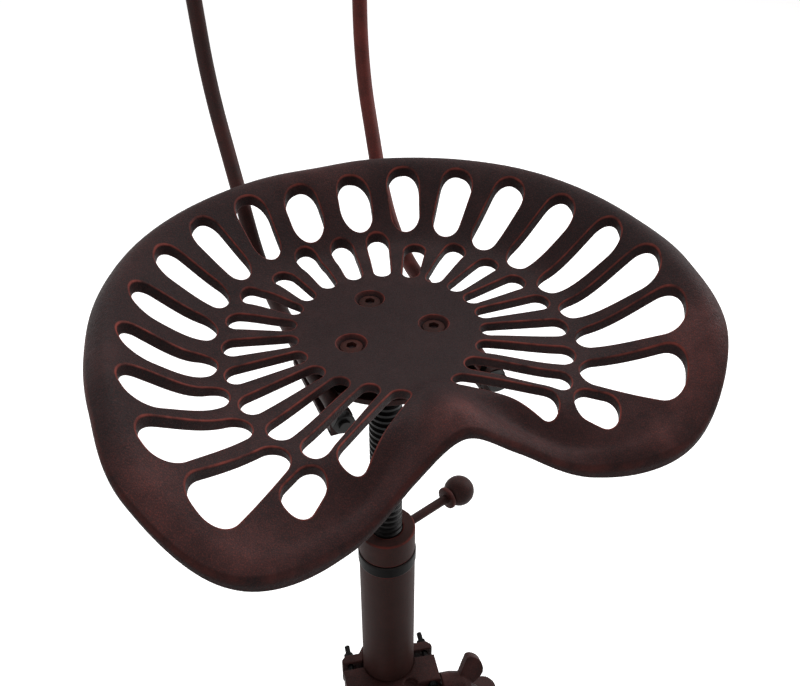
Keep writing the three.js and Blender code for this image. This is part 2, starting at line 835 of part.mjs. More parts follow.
addPiece(upper, 'back_plate', backPiece(), finish('antiqueCopper'));

for (const [name, side] of Object.entries(sides)) {
  const group = backScrewGroup(side);
  upper.add(group);
  backScrewHeights.forEach((height, number) => {
    const level = ['lower', 'upper'][number];
    const flatBack = rod.flatThickness / 2 + gap;
    const headFace = rod.flatThickness / 2 + 2 * gap + backPlate.thickness;
    const screwEnd = flatBack + backScrew.nutHeight + gap;
    const screw = turned([
      [0, -screwEnd],
      [backPlate.screwRadius, -screwEnd],
      [backPlate.screwRadius, headFace],
      [backScrew.headRadius, headFace],
      [backScrew.headRadius * 0.8, headFace + backScrew.headHeight * 0.7],
      [0, headFace + backScrew.headHeight],
    ], boltSides);
    const nut = hexNut(backScrew.nutFlats, backPlate.screwRadius + gap, 0, backScrew.nutHeight);
    nut.translate(0, 0, -flatBack - backScrew.nutHeight);
    for (const [kind, geometry] of [['screw', screw], ['nut', nut]]) {
      const mesh = addPiece(group, `back_${kind}_${level}_${name}`, geometry, finish('blackSteel'));
      mesh.rotation.x = Math.PI / 2;
      mesh.position.z = height;
    }
  });
}

// Column, with the fixed nut in its top that the spindle turns in.

const columnTop = hubHeight - seatRise;
const column = {
  bottom: 56,
  nutHeight: 36,
};

addPiece(
  lower,
  'column_tube',
  ring(columnInner, columnRadius, column.bottom, columnTop, roundSides),
  finish('antiqueCopper'),
);
addPiece(
  lower,
  'column_nut',
  ring(spindle.majorRadius + gap, columnInner - gap, columnTop - column.nutHeight, columnTop, roundSides),
  finish('blackSteel'),
);

// Lock: a friction ring on the column's top, and a collar nut that a ball lever turns down on it.

const lock = {
  ringRadius: 24.8,
  ringHeight: 12.4,
  nutHeight: 25,
  chamfer: 1,
  leverTurnDegrees: 17.7,
  leverRadius: 4,
  leverSeat: 6,
  knobReach: 83,
  knobRadius: 13.5,
  knobNeckRadius: 6.5,
  knobFlangeRadius: 10,
  knobFlangeThickness: 4,
  knobFlangeOffset: 16,
  knobBoreDepth: 8,
};
const lockRingBottom = columnTop + gap;
const lockRingTop = lockRingBottom + lock.ringHeight;
const lockNutBottom = lockRingTop + gap;
const lockNutTop = lockNutBottom + lock.nutHeight;
const leverHeight = (lockNutBottom + lockNutTop) / 2;
const lockBore = spindle.majorRadius + gap;

addPiece(
  stool,
  'lock_ring',
  ring(lockBore, lock.ringRadius, lockRingBottom, lockRingTop, roundSides),
  finish('blackSteel'),
);

const lever = new THREE.Group();
lever.position.z = leverHeight;
lever.rotation.z = THREE.MathUtils.degToRad(lock.leverTurnDegrees);
stool.add(lever);

// A piece that is turned about Z lies down along the lever, from the column outwards.
function alongLever(geometry) {
  return geometry.rotateY(Math.PI / 2);
}

function lockNut() {
  const body = turned([
    [lockBore, lockNutBottom - leverHeight],
    [columnRadius, lockNutBottom - leverHeight],
    [columnRadius, lockNutTop - leverHeight - lock.chamfer],
    [columnRadius - lock.chamfer, lockNutTop - leverHeight],
    [lockBore, lockNutTop - leverHeight],
    [lockBore, lockNutBottom - leverHeight],
  ], roundSides);
  const seatStart = columnRadius - lock.leverSeat;
  const hole = alongLever(disc(lock.leverRadius + gap, seatStart, columnRadius + overrun, boltSides));
  return cut(body, [hole]);
}

function leverKnob() {
  const neckStart = lock.knobReach - lock.knobFlangeOffset;
  const flangeEnd = neckStart + lock.knobFlangeThickness;
  const profile = [
    [0, neckStart],
    [lock.knobFlangeRadius, neckStart],
    [lock.knobFlangeRadius, flangeEnd],
    [lock.knobNeckRadius, flangeEnd],
  ];
  const ballSteps = 8;
  const startAngle = Math.asin(lock.knobNeckRadius / lock.knobRadius);
  for (let step = 0; step <= ballSteps; step += 1) {
    const angle = startAngle + (Math.PI - startAngle) * step / ballSteps;
    const radius = step === ballSteps ? 0 : lock.knobRadius * Math.sin(angle);
    profile.push([radius, lock.knobReach - lock.knobRadius * Math.cos(angle)]);
  }
  const boreEnd = neckStart + lock.knobBoreDepth;
  const bore = disc(lock.leverRadius + gap, neckStart - overrun, boreEnd, boltSides);
  return alongLever(cut(turned(profile, roundSides / 2), [bore]));
}

addPiece(lever, 'lock_nut', lockNut(), finish('antiqueCopper'));
const rodStart = columnRadius - lock.leverSeat + gap;
const rodStop = lock.knobReach - lock.knobFlangeOffset + lock.knobBoreDepth - gap;
addPiece(
  lever,
  'lock_lever_rod',
  alongLever(disc(lock.leverRadius, rodStart, rodStop, boltSides)),
  finish('antiqueCopper'),
);
addPiece(lever, 'lock_lever_knob', leverKnob(), finish('antiqueCopper'));

// Footrest clamp: two halves round the column, drawn together by two long bolts. The front half
// carries a socket for the footrest's arm and a lug beside it for the wing screw that holds the arm.

const clamp = {
  aboveArm: 16,
  belowArm: 12,
  wall: 5,
  halfGap: 3.5,
  halfWidth: 44,
  earThickness: 9,
  deckDepth: 31,
  boltX: 36,
  boltAboveArm: 10.5,
  boltRadius: 2.5,
  boltProud: 13,
  boltFlats: 8,
  boltHeadHeight: 4,
  boltNutHeight: 4,
  socketBlockHalfWidth: 22,
  socketBlockDepth: 66,
  socketBlockAboveArm: 11,
  socketHalfWidth: 12,
  socketHalfHeight: 6,
  socketBack: 28,
  lugDepth: 46,
  notchRadius: 7,
  notchX: 15,
  screwRadius: 3.4,
  screwBack: 32,
};
const clampTop = footrestHeight + clamp.aboveArm;
const clampBottom = footrestHeight - clamp.belowArm;
const clampBoltHeight = footrestHeight + clamp.boltAboveArm;
const clampBore = columnRadius + gap;
const earFrontY = clamp.halfGap;
const earBackY = clamp.halfGap + clamp.earThickness;

// An upright block between two heights, from the corners of its plan.
function block(corners, bottom, top) {
  const shape = new THREE.Shape(corners.map(([x, y]) => new THREE.Vector2(x, y)));
  const settings = { depth: top - bottom, bevelEnabled: false };
  return new THREE.ExtrudeGeometry(shape, settings).translate(0, 0, bottom);
}

function box(fromX, toX, fromY, toY, bottom, top) {
  return block([[fromX, fromY], [toX, fromY], [toX, toY], [fromX, toY]], bottom, top);
}

// A hole along Y at the height of the clamp's bolts.
function boltHole(side, fromY, toY) {
  const hole = disc(clamp.boltRadius + gap, fromY, toY, boltSides).rotateX(-Math.PI / 2);
  return hole.translate(side * clamp.boltX, 0, clampBoltHeight);
}

function clampRear() {
  const low = clampBottom - overrun;
  const high = clampTop + overrun;
  const shell = disc(clampBore + clamp.wall, clampBottom, clampTop, roundSides);
  const corner = clamp.halfWidth - clamp.earThickness / 2;
  const ears = block([
    [-clamp.halfWidth, earFrontY],
    [clamp.halfWidth, earFrontY],
    [clamp.halfWidth, (earFrontY + earBackY) / 2],
    [corner, earBackY],
    [-corner, earBackY],
    [-clamp.halfWidth, (earFrontY + earBackY) / 2],
  ], clampBottom, clampTop);
  const far = 2 * clamp.halfWidth;
  return cut(join([shell, ears]), [
    box(-far, far, -far, earFrontY, low, high),
    disc(clampBore, low, high, roundSides),
    boltHole(sides.left, 0, earBackY + overrun),
    boltHole(sides.right, 0, earBackY + overrun),
  ]);
}

function clampFront() {
  const low = clampBottom - overrun;
  const high = clampTop + overrun;
  const front = -clamp.socketBlockDepth;
  const lugTop = clampBoltHeight - clamp.boltFlats / Math.sqrt(3) - gap;
  const blockHalf = clamp.socketBlockHalfWidth;
  const solids = [
    box(-clamp.halfWidth, clamp.halfWidth, -clamp.deckDepth, -earFrontY, clampBottom, clampTop),
    box(-blockHalf, blockHalf, front, -earFrontY, clampBottom, footrestHeight + clamp.socketBlockAboveArm),
    box(0, clamp.halfWidth, -clamp.lugDepth, -earFrontY, clampBottom, lugTop),
  ];
  const socketHalf = clamp.socketHalfWidth + gap;
  const socketBottom = footrestHeight - clamp.socketHalfHeight - gap;
  const socketTop = footrestHeight + clamp.socketHalfHeight + gap;
  const notchBottom = clampTop - clamp.wall;
  const screwHole = disc(clamp.screwRadius + gap, 0, clamp.halfWidth + overrun, boltSides);
  return cut(join(solids), [
    disc(clampBore, low, high, roundSides),
    box(-socketHalf, socketHalf, front - overrun, -clamp.socketBack, socketBottom, socketTop),
    disc(clamp.notchRadius, notchBottom, high, boltSides).translate(clamp.notchX, -clamp.deckDepth, 0),
    screwHole.rotateY(Math.PI / 2).translate(0, -clamp.screwBack, footrestHeight),
    boltHole(sides.left, -clamp.deckDepth - overrun, 0),
    boltHole(sides.right, -clamp.deckDepth - overrun, 0),
  ]);
}

addPiece(lower, 'clamp_rear', clampRear(), finish('antiqueCopper'));
addPiece(lower, 'clamp_front', clampFront(), finish('antiqueCopper'));

for (const [name, side] of Object.entries(sides)) {
  const headY = -clamp.deckDepth - gap;
  const nutY = earBackY + gap;
  const bolt = join([
    hexDisc(clamp.boltFlats, headY - clamp.boltHeadHeight, headY),
    disc(clamp.boltRadius, headY - clamp.boltHeadHeight / 2, earBackY + clamp.boltProud, boltSides),
  ]);
  const nut = hexNut(clamp.boltFlats, clamp.boltRadius + gap, nutY, nutY + clamp.boltNutHeight);
  for (const [kind, geometry] of [['bolt', bolt], ['nut', nut]]) {
    const mesh = addPiece(lower, `clamp_${kind}_${name}`, geometry, finish('blackSteel'));
    mesh.rotation.x = -Math.PI / 2;
    mesh.position.set(side * clamp.boltX, 0, clampBoltHeight);
  }
}

// Wing screw with a pad on its tip that doesn't turn, in the lug beside the socket.

const wing = {
  padLength: 3,
  hubRadius: 15,
  hubLength: 16,
  hubClear: 1,
  reach: 34,
  thickness: 11,
  flare: 20,
  tiltDegrees: 25,
};
const padStart = clamp.socketHalfWidth + gap;
const screwTip = padStart + wing.padLength + gap;
const hubStart = clamp.halfWidth + wing.hubClear;
const hubEnd = hubStart + wing.hubLength;

const wingGroup = new THREE.Group();
wingGroup.position.set(0, -clamp.screwBack, footrestHeight);
lower.add(wingGroup);

function wingScrew() {
  const body = turned([
    [0, screwTip],
    [clamp.screwRadius, screwTip],
    [clamp.screwRadius, hubStart],
    [wing.hubRadius, hubStart],
    [wing.hubRadius, hubStart + wing.hubLength / 3],
    [wing.hubRadius * 0.85, hubStart + wing.hubLength * 0.75],
    [wing.hubRadius * 0.5, hubEnd],
    [0, hubEnd],
  ], boltSides * 2).rotateY(Math.PI / 2);
  const rootStart = hubStart + wing.hubLength / 4;
  const rootEnd = hubEnd - wing.hubLength / 8;
  const shape = new THREE.Shape();
  shape.moveTo(rootStart, 0);
  shape.lineTo(rootStart + wing.flare / 5, wing.reach / 2);
  shape.lineTo(rootStart + wing.flare / 2, wing.reach * 0.9);
  shape.quadraticCurveTo(rootStart + wing.flare * 0.6, wing.reach, rootStart + wing.flare, wing.reach * 0.97);
  shape.quadraticCurveTo(rootEnd + wing.flare, wing.reach * 0.9, rootEnd + wing.flare, wing.reach * 0.65);
  shape.quadraticCurveTo(rootEnd + wing.flare * 0.8, wing.reach / 3, rootEnd, 0);
  shape.closePath();
  const settings = { depth: wing.thickness, bevelEnabled: false, curveSegments: 4 };
  const blades = [Math.PI / 2, -Math.PI / 2].map((turn) => {
    const blade = new THREE.ExtrudeGeometry(shape, settings).translate(0, 0, -wing.thickness / 2);
    return blade.rotateX(turn - THREE.MathUtils.degToRad(wing.tiltDegrees));
  });
  return join([body, ...blades]);
}

addPiece(
  wingGroup,
  'wing_screw_pad',
  disc(clamp.screwRadius, padStart, padStart + wing.padLength, boltSides).rotateY(Math.PI / 2),
  finish('greyNylon'),
);
addPiece(wingGroup, 'wing_screw', wingScrew(), finish('antiqueCopper'));

// Footrest: an arm that slides in the clamp's socket, with a bar bent round the column on its end.

const footrest = {
  barRadius: 10,
  halfSweepDegrees: 36,
  endRadius: 13,
};

function footrestPiece() {
  const arc = new THREE.EllipseCurve(
    0,
    0,
    footrestReach,
    footrestReach,
    THREE.MathUtils.degToRad(-90 - footrest.halfSweepDegrees),
    THREE.MathUtils.degToRad(-90 + footrest.halfSweepDegrees),
  );
  const places = arc.getPoints(12).map((point) => new THREE.Vector3(point.x, point.y, footrestHeight));
  const curve = new THREE.CatmullRomCurve3(places);
  const up = new THREE.Vector3(0, 0, 1);
  const sectionAt = () => ({ side: up, halfWidth: footrest.barRadius, halfHeight: footrest.barRadius });
  const parts = [bar(curve, evenly(0, 1, 14), 8, sectionAt)];
  const half = clamp.socketHalfWidth;
  const armBottom = footrestHeight - clamp.socketHalfHeight;
  const armTop = footrestHeight + clamp.socketHalfHeight;
  parts.push(box(-half, half, -footrestReach, -clamp.socketBack - gap, armBottom, armTop));
  for (const place of [places[0], places.at(-1)]) {
    parts.push(new THREE.SphereGeometry(footrest.endRadius, 10, 6).translate(...place.toArray()));
  }
  return join(parts);
}

addPiece(lower, 'footrest', footrestPiece(), finish('antiqueCopper'));

// Base casting: a socket for the column and four arched legs with round pads.

const base = {
  socketWall: 11,
  socketTop: 128,
  socketBottom: 44,
  legRootHeight: 92,
  legKneeHeight: 88,
  legEndHeight: 26,
  rootHalfWidth: 13,
  endHalfWidth: 9,
  rootHalfHeight: 24,
  endHalfHeight: 9,
  padRadius: 18,
  padTop: 35,
  footRadius: 21,
  footHeight: 15,
  studRadius: 4,
  studLength: 12,
};
const legCount = 4;
const legStartDegrees = 45;
const socketRadius = columnRadius + base.socketWall;

function legBar() {
  const reachAt = (share) => share * baseReach;
  const points = [
    new THREE.Vector3(columnRadius + base.socketWall / 2, 0, base.legRootHeight),
    new THREE.Vector3(reachAt(0.35), 0, base.legKneeHeight),
    new THREE.Vector3(reachAt(0.65), 0, (base.legKneeHeight + base.legEndHeight) / 2),
    new THREE.Vector3(reachAt(0.85), 0, base.legEndHeight + base.endHalfHeight / 2),
    new THREE.Vector3(baseReach, 0, base.legEndHeight),
  ];
  const curve = new THREE.CatmullRomCurve3(points);
  const sectionAt = (t) => ({
    side: new THREE.Vector3(0, 1, 0),
    halfWidth: THREE.MathUtils.lerp(base.rootHalfWidth, base.endHalfWidth, t),
    halfHeight: THREE.MathUtils.lerp(base.rootHalfHeight, base.endHalfHeight, smooth(0, 1, t)),
    squareness: 0.4,
  });
  return bar(curve, evenly(0, 1, 12), 8, sectionAt);
}

function baseCasting() {
  const padBottomZ = base.footHeight + gap;
  const parts = [turned([
    [0, base.socketBottom],
    [socketRadius, base.socketBottom],
    [socketRadius, base.socketTop - base.socketWall / 2],
    [socketRadius - base.socketWall / 2, base.socketTop],
    [0, base.socketTop],
  ], roundSides)];
  const cutters = [disc(columnRadius + gap, column.bottom - gap, base.socketTop + overrun, roundSides)];
  for (let leg = 0; leg < legCount; leg += 1) {
    const angle = THREE.MathUtils.degToRad(legStartDegrees + (360 * leg) / legCount);
    parts.push(legBar().rotateZ(angle));
    const pad = disc(base.padRadius, padBottomZ, base.padTop, boltSides * 2);
    const hole = disc(base.studRadius + gap, 0, padBottomZ + base.studLength, boltSides);
    parts.push(pad.translate(baseReach, 0, 0).rotateZ(angle));
    cutters.push(hole.translate(baseReach, 0, 0).rotateZ(angle));
  }
  return cut(join(parts), cutters);
}

addPiece(lower, 'base_casting', baseCasting(), finish('antiqueCopper'));

const footNames = ['back_right', 'back_left', 'front_left', 'front_right'];

footNames.forEach((name, number) => {
  const angle = THREE.MathUtils.degToRad(legStartDegrees + (360 * number) / legCount);
  const studTop = base.footHeight + base.studLength;
  const foot = turned([
    [0, 0],
    [base.footRadius * 0.9, 0],
    [base.footRadius, base.footHeight / 5],
    [base.padRadius, base.footHeight],
    [base.studRadius, base.footHeight],
    [base.studRadius, studTop],
    [0, studTop],
  ], boltSides * 2);
  const mesh = addPiece(lower, `foot_${name}`, foot, finish('blackRubber'));
  mesh.position.set(baseReach * Math.cos(angle), baseReach * Math.sin(angle), 0);
});

export default stool;
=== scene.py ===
import math

import bmesh
import bpy
import numpy as np
from mathutils import Matrix, Vector
from mathutils.geometry import delaunay_2d_cdt


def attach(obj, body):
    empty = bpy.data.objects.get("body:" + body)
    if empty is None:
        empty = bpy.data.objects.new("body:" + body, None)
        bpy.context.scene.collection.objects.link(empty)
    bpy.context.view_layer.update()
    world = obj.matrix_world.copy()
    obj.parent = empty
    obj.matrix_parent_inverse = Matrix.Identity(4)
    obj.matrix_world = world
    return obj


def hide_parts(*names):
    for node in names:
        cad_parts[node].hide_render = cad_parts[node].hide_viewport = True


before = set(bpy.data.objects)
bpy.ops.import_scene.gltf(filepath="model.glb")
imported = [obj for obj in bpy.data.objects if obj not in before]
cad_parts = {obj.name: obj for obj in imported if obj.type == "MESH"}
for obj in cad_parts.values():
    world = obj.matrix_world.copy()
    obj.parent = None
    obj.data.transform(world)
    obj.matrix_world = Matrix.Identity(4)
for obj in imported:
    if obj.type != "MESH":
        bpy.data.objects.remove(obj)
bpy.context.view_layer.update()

# Seat casting. The real one is a pierced dished seat, cast in iron in sand, with two rings of
# slots round a plain hub, a rolled rim and a raised pommel at the front. It is finished in a dark
# antique copper that is rubbed back to red on its edges. Lengths are in millimetres.

MM = 0.001
HUB_HEIGHT = 770
HALF_WIDTH = 205
PATTERN_OFFSET = 8
HUB_RADIUS = 64
SEAT_WALL = 7.5
ROLL_WIDTH = 16
RIM_THINNING = 0.42
ARC_PULL = 0.55
SLOT_SPACING = 1.7
OUTLINE_POINTS, OUTLINE_ALLOWANCE = 420, 0.9
INNER_CORNERS, OUTER_CORNERS = 0.95, 0.92
TOP_SPACING, UNDERSIDE_SPACING = 3.0, 5.0
RIM_OVER, RIM_UNDER, RIM_RUB = 2.8, 1.8, 0.2
SLOT_OVER, SLOT_UNDER, SLOT_RUB = 1.2, 1.0, 0.85
EDGE_RUBS, UNDER_RUB, WALL_RINGS = (0.7, 1.0, 1.0, 0.5, 0.1), 0.2, (0.12, 0.88)
# The crest band is a painted highlight along the rim's crest; the lobes' value is wear.
CREST_SHEEN, CREST_SHEEN_WIDTH = 0.12, 9
LOBE_WEAR, LOBE_ANGLES, LOBE_REACH = 0.3, (1.7, 2.2), (0.55, 0.95)
RECESS_SIDES, PAD_SIDES = 48, 72

OUTLINE_SHARES = [
    0.781, 0.807, 0.829, 0.865, 0.901, 0.933, 0.966, 1.028, 1.106, 1.048, 0.815, 0.652, 0.606
]
WALL_SHARES = [0.262, 0.26, 0.26, 0.258, 0.257, 0.252, 0.243, 0.212, 0.105, -0.098, -0.146, -0.03, 0.066]
WALL_START_SHARES = [0.41, 0.43, 0.455, 0.47, 0.515, 0.56, 0.605, 0.62, 0.605, 0.575, 0.565, 0.455, 0.36]
DISH_SHARES = [0.024, 0.024, 0.03, 0.03, 0.024, 0.015, 0.002, -0.007, -0.02, -0.024, -0.005, 0.015, 0.02]
ROLL_SHARES = [0.046, 0.049, 0.054, 0.063, 0.066, 0.06, 0.046, 0.034, 0.03, 0.038, 0.04, 0.04, 0.039]

INNER_SLOT_SHARES = [
    (0, 0.316, 0, 0.502, 0.029, 0.048),
    (18.2, 0.315, 16.8, 0.52, 0.03, 0.044),
    (36, 0.315, 34, 0.488, 0.029, 0.042),
    (50.8, 0.314, 51.5, 0.535, 0.029, 0.043),
    (67, 0.314, 67.5, 0.547, 0.029, 0.041),
    (82.5, 0.312, 82.3, 0.56, 0.03, 0.041),
    (99, 0.312, 96.5, 0.583, 0.031, 0.043),
    (116, 0.312, 111, 0.61, 0.031, 0.045),
    (133, 0.312, 124.8, 0.63, 0.031, 0.047),
    (150.8, 0.318, 137, 0.645, 0.031, 0.048),
    (166.8, 0.352, 147.3, 0.65, 0.032, 0.047),
]
OUTER_SLOT_SHARES = [
    (9.8, 0.52, 9.5, 0.675, 0.06, 0.064),
    (29.5, 0.535, 25.8, 0.712, 0.048, 0.067),
    (43.6, 0.545, 43.8, 0.748, 0.047, 0.065),
    (58, 0.56, 60.2, 0.785, 0.046, 0.066),
    (72.5, 0.575, 76.5, 0.82, 0.046, 0.069),
    (88, 0.59, 91.8, 0.866, 0.046, 0.07),
    (102.3, 0.606, 104.5, 0.924, 0.045, 0.078),
    (116.8, 0.633, 115.6, 0.974, 0.047, 0.084),
    (130.8, 0.655, 126.8, 0.985, 0.047, 0.084),
    (141.3, 0.672, 138, 0.812, 0.044, 0.054),
]


def ease(start, end, value):
    """0 before the start, 1 past the end, and a smooth step between them."""
    share = np.clip((value - start) / (end - start), 0, 1)
    return share * share * (3 - 2 * share)


def climb(start, crest, value):
    """The wall's rise from 0 at its start to 1 at its crest, where it still climbs a little."""
    share = np.clip((value - start) / (crest - start), 0, 1)
    return share * share * (2.4 - 1.4 * share)


def round_the_seat(shares, angle):
    """A smooth value round the seat, from the back at angle 0 to the notch at pi."""
    keys = np.array(shares) * HALF_WIDTH
    last = len(keys) - 1
    place = np.clip(angle / math.pi * last, 0, last - 1e-9)
    key = np.floor(place).astype(int)
    p = place - key
    before = keys[np.where(key > 0, key - 1, 1)]
    after = keys[np.where(key + 2 <= last, key + 2, last - 1)]
    here, there = keys[key], keys[key + 1]
    return (
        (-0.5 * p**3 + p**2 - 0.5 * p) * before
        + (1.5 * p**3 - 2.5 * p**2 + 1) * here
        + (-1.5 * p**3 + 2 * p**2 + 0.5 * p) * there
        + (0.5 * p**3 - 0.5 * p**2) * after
    )


def round_the_pattern(plan):
    """The radius and the angle from the back of points of the plan, round the pattern's centre."""
    x, forward = plan[:, 0], plan[:, 1] + PATTERN_OFFSET
    return np.hypot(x, forward), np.arctan2(np.abs(x), forward)


def seat_top(plan):
    radius, angle = round_the_pattern(plan)
    shares = (OUTLINE_SHARES, WALL_SHARES, WALL_START_SHARES, DISH_SHARES, ROLL_SHARES)
    reach, wall, start, dish, roll = (round_the_seat(row, angle) for row in shares)
    crest = reach - ROLL_WIDTH
    past = np.maximum(0, (radius - crest) / ROLL_WIDTH)
    dished = dish * ease(HUB_RADIUS, start, radius)
    return dished + (wall - dish) * climb(start, crest, radius) - roll * past**2


def seat_lean(plan):
    """The plan part of the top's unit normal, and its upright part."""
    step = 1.5
    slope = np.empty_like(plan)
    for axis in range(2):
        shift = np.zeros(2)
        shift[axis] = step
        slope[:, axis] = (seat_top(plan + shift) - seat_top(plan - shift)) / (2 * step)
    upright = 1 / np.sqrt(1 + (slope**2).sum(1))
    return -slope * upright[:, None], upright


def seat_wall(plan):
    """The wall is thinner towards the rim."""
    radius, angle = round_the_pattern(plan)
    reach = round_the_seat(OUTLINE_SHARES, angle)
    past = ease(reach - 2 * ROLL_WIDTH, reach, radius)
    return SEAT_WALL * (1 - RIM_THINNING * past)


def seat_underside(plan):
    """The underside lies one wall below the top, measured square to it."""
    above = plan.copy()
    for _ in range(6):
        lean, _ = seat_lean(above)
        above = 0.5 * (above + plan + lean * seat_wall(plan)[:, None])
    _, upright = seat_lean(above)
    return seat_top(above) - seat_wall(plan) * upright


def plan_point(degrees, share):
    angle = math.radians(degrees)
    radius = share * HALF_WIDTH
    return np.array([radius * math.sin(angle), radius * math.cos(angle) - PATTERN_OFFSET])


def evenly_spaced(loop, spacing):
    """A closed loop with its points moved along it until they are evenly spaced."""
    closed = np.vstack([loop, loop[:1]])
    along = np.concatenate([[0], np.cumsum(np.hypot(*np.diff(closed, axis=0).T))])
    at = np.linspace(0, along[-1], max(24, int(round(along[-1] / spacing))), endpoint=False)
    return np.stack([np.interp(at, along, closed[:, axis]) for axis in range(2)], axis=1)


def slot_loop(row, side, corner_share):
    """A tapered slot with a round inner end and softer outer corners."""
    from_degrees, from_share, to_degrees, to_share, from_half, to_half = row
    start = plan_point(side * from_degrees, from_share)
    end = plan_point(side * to_degrees, to_share)
    from_half, to_half = from_half * HALF_WIDTH, to_half * HALF_WIDTH
    length = math.dist(start, end)
    corners = [
        (np.array([0, -from_half]), from_half),
        (np.array([length, -to_half]), to_half * corner_share),
        (np.array([length, to_half]), to_half * corner_share),
        (np.array([0, from_half]), from_half),
    ]
    points = []
    for number, (at, radius) in enumerate(corners):
        before, after = corners[number - 1][0], corners[(number + 1) % 4][0]
        a = at + (before - at) / np.linalg.norm(before - at) * radius
        d = at + (after - at) / np.linalg.norm(after - at) * radius
        b, c = a + (at - a) * ARC_PULL, d + (at - d) * ARC_PULL
        for t in np.linspace(0, 1, 17):
            back = 1 - t
            points.append(back**3 * a + 3 * back**2 * t * b + 3 * back * t**2 * c + t**3 * d)
    points = np.array(points)
    along = (end - start) / length
    across = np.array([-along[1], along[0]])
    return evenly_spaced(start + points[:, :1] * along + points[:, 1:] * across, SLOT_SPACING)


def circle_loop(centre, radius, count):
    angles = np.linspace(0, 2 * math.pi, count, endpoint=False)
    return np.array(centre) + radius * np.stack([np.cos(angles), np.sin(angles)], axis=1)


def outward_of(loop):
    """Unit normals of an anticlockwise loop that point out of it."""
    along = np.roll(loop, -1, axis=0) - np.roll(loop, 1, axis=0)
    along /= np.linalg.norm(along, axis=1)[:, None]
    return np.stack([along[:, 1], -along[:, 0]], axis=1)


def inside(points, loop):
    """Which points of the plan lie inside a loop."""
    result = np.zeros(len(points), bool)
    low, high = loop.min(0), loop.max(0)
    near = np.where(((points >= low) & (points <= high)).all(1))[0]
    x, y = points[near, 0], points[near, 1]
    odd = np.zeros(len(near), bool)
    for (x0, y0), (x1, y1) in zip(loop, np.roll(loop, -1, axis=0)):
        crosses = (y0 > y) != (y1 > y)
        with np.errstate(divide="ignore", invalid="ignore"):
            at = (x1 - x0) * (y - y0) / (y1 - y0) + x0
        odd ^= crosses & (x < at)
    result[near] = odd
    return result


def filled_plan(loops, spacing):
    """Triangles that fill the plan between an outer loop and the holes after it. The loops' own points
    come first, in their order, so that edges can be sewn to them."""

    def within(places):
        keep = inside(places, loops[0])
        for hole in loops[1:]:
            keep &= ~inside(places, hole)
        return keep

    low, high = loops[0].min(0), loops[0].max(0)
    rows = np.arange(low[1], high[1], spacing * math.sqrt(3) / 2)
    grid = np.array([
        (x, y)
        for number, y in enumerate(rows)
        for x in np.arange(low[0] + (number % 2) * spacing / 2, high[0], spacing)
    ])
    grid = grid[within(grid)]
    rim = np.vstack(loops)
    nearest = np.full(len(grid), np.inf)
    for part in np.array_split(rim, max(1, len(rim) // 200)):
        gaps = np.hypot(grid[:, None, 0] - part[None, :, 0], grid[:, None, 1] - part[None, :, 1])
        nearest = np.minimum(nearest, gaps.min(1))
    points = np.vstack([rim, grid[nearest > 0.45 * spacing]])
    edges = []
    first = 0
    for count in map(len, loops):
        edges += [(first + n, first + (n + 1) % count) for n in range(count)]
        first += count
    _, _, faces, origins, _, _ = delaunay_2d_cdt([Vector(p) for p in points], edges, [], 0, 1e-7)
    triangles = np.array([[origins[v][0] for v in face] for face in faces])
    return points, triangles[within(points[triangles].mean(1))]


class Sewn:
    """A mesh that is sewn together from patches and rings of points."""

    def __init__(self):
        self.points, self.faces, self.rub, self.worn = [], [], [], []

    def add(self, points, rub=0.0, worn=0.0):
        first = len(self.points)
        self.points.extend(np.asarray(points, float))
        self.rub.extend(np.broadcast_to(rub, len(points)))
        self.worn.extend(np.broadcast_to(worn, len(points)))
        return np.arange(first, first + len(points))

    def patch(self, points, triangles, loops, rub=0.0, worn=0.0):
        """Adds a filled plan, and returns the numbers of its loops' points."""
        numbers = self.add(points, rub, worn)
        self.faces.extend(tuple(numbers[t]) for t in triangles)
        return np.split(numbers, np.cumsum([len(loop) for loop in loops]))[:-1]

    def bridge(self, one, other):
        for a, b, c, d in zip(one, np.roll(one, -1), np.roll(other, -1), other):
            self.faces.append((a, b, c, d))

    def ring_after(self, last, points, rub=0.0):
        ring = self.add(points, rub)
        self.bridge(last, ring)
        return ring

    def fan(self, ring, point):
        centre = self.add([point])[0]
        for a, b in zip(ring, np.roll(ring, -1)):
            self.faces.append((a, b, centre))


def placed(name, data):
    """A new object of the scene. A piece stays at the origin, with its place in its mesh."""
    thing = bpy.data.objects.new(name, data)
    bpy.context.scene.collection.objects.link(thing)
    return thing


def make_object(name, points, faces, **values):
    """A mesh object from millimetres, with its faces turned outwards and its wear, painted sheen and
    painted shade kept as values.
    """
    mesh = bpy.data.meshes.new(name)
    corners = (np.asarray(points, float) * MM).tolist()
    mesh.from_pydata(corners, [], [tuple(int(number) for number in face) for face in faces])
    for label, value in values.items():
        kept = mesh.attributes.new(label, "FLOAT", "POINT").data
        kept.foreach_set("value", np.asarray(value, np.float32))
    shape = bmesh.new()
    shape.from_mesh(mesh)
    bmesh.ops.recalc_face_normals(shape, faces=shape.faces)
    shape.to_mesh(mesh)
    shape.free()
    return placed(name, mesh)


def soften(thing, degrees=38):
    thing.data.shade_smooth()
    thing.data.set_sharp_from_angle(angle=math.radians(degrees))


def fit(thing, finish, body, slot, *nodes):
    """Gives a finished piece its material, its body and the nodes that it stands for."""
    thing.data.materials.clear()
    thing.data.materials.append(finish)
    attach(thing, body)
    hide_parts(*nodes)


def linear(colour):
    """A colour as it shows on a screen, from 0 to 255, as Blender reads it."""
    shares = [c / 255 for c in colour]
    return tuple(c / 12.92 if c <= 0.04045 else ((c + 0.055) / 1.055) ** 2.4 for c in shares) + (1.0,)


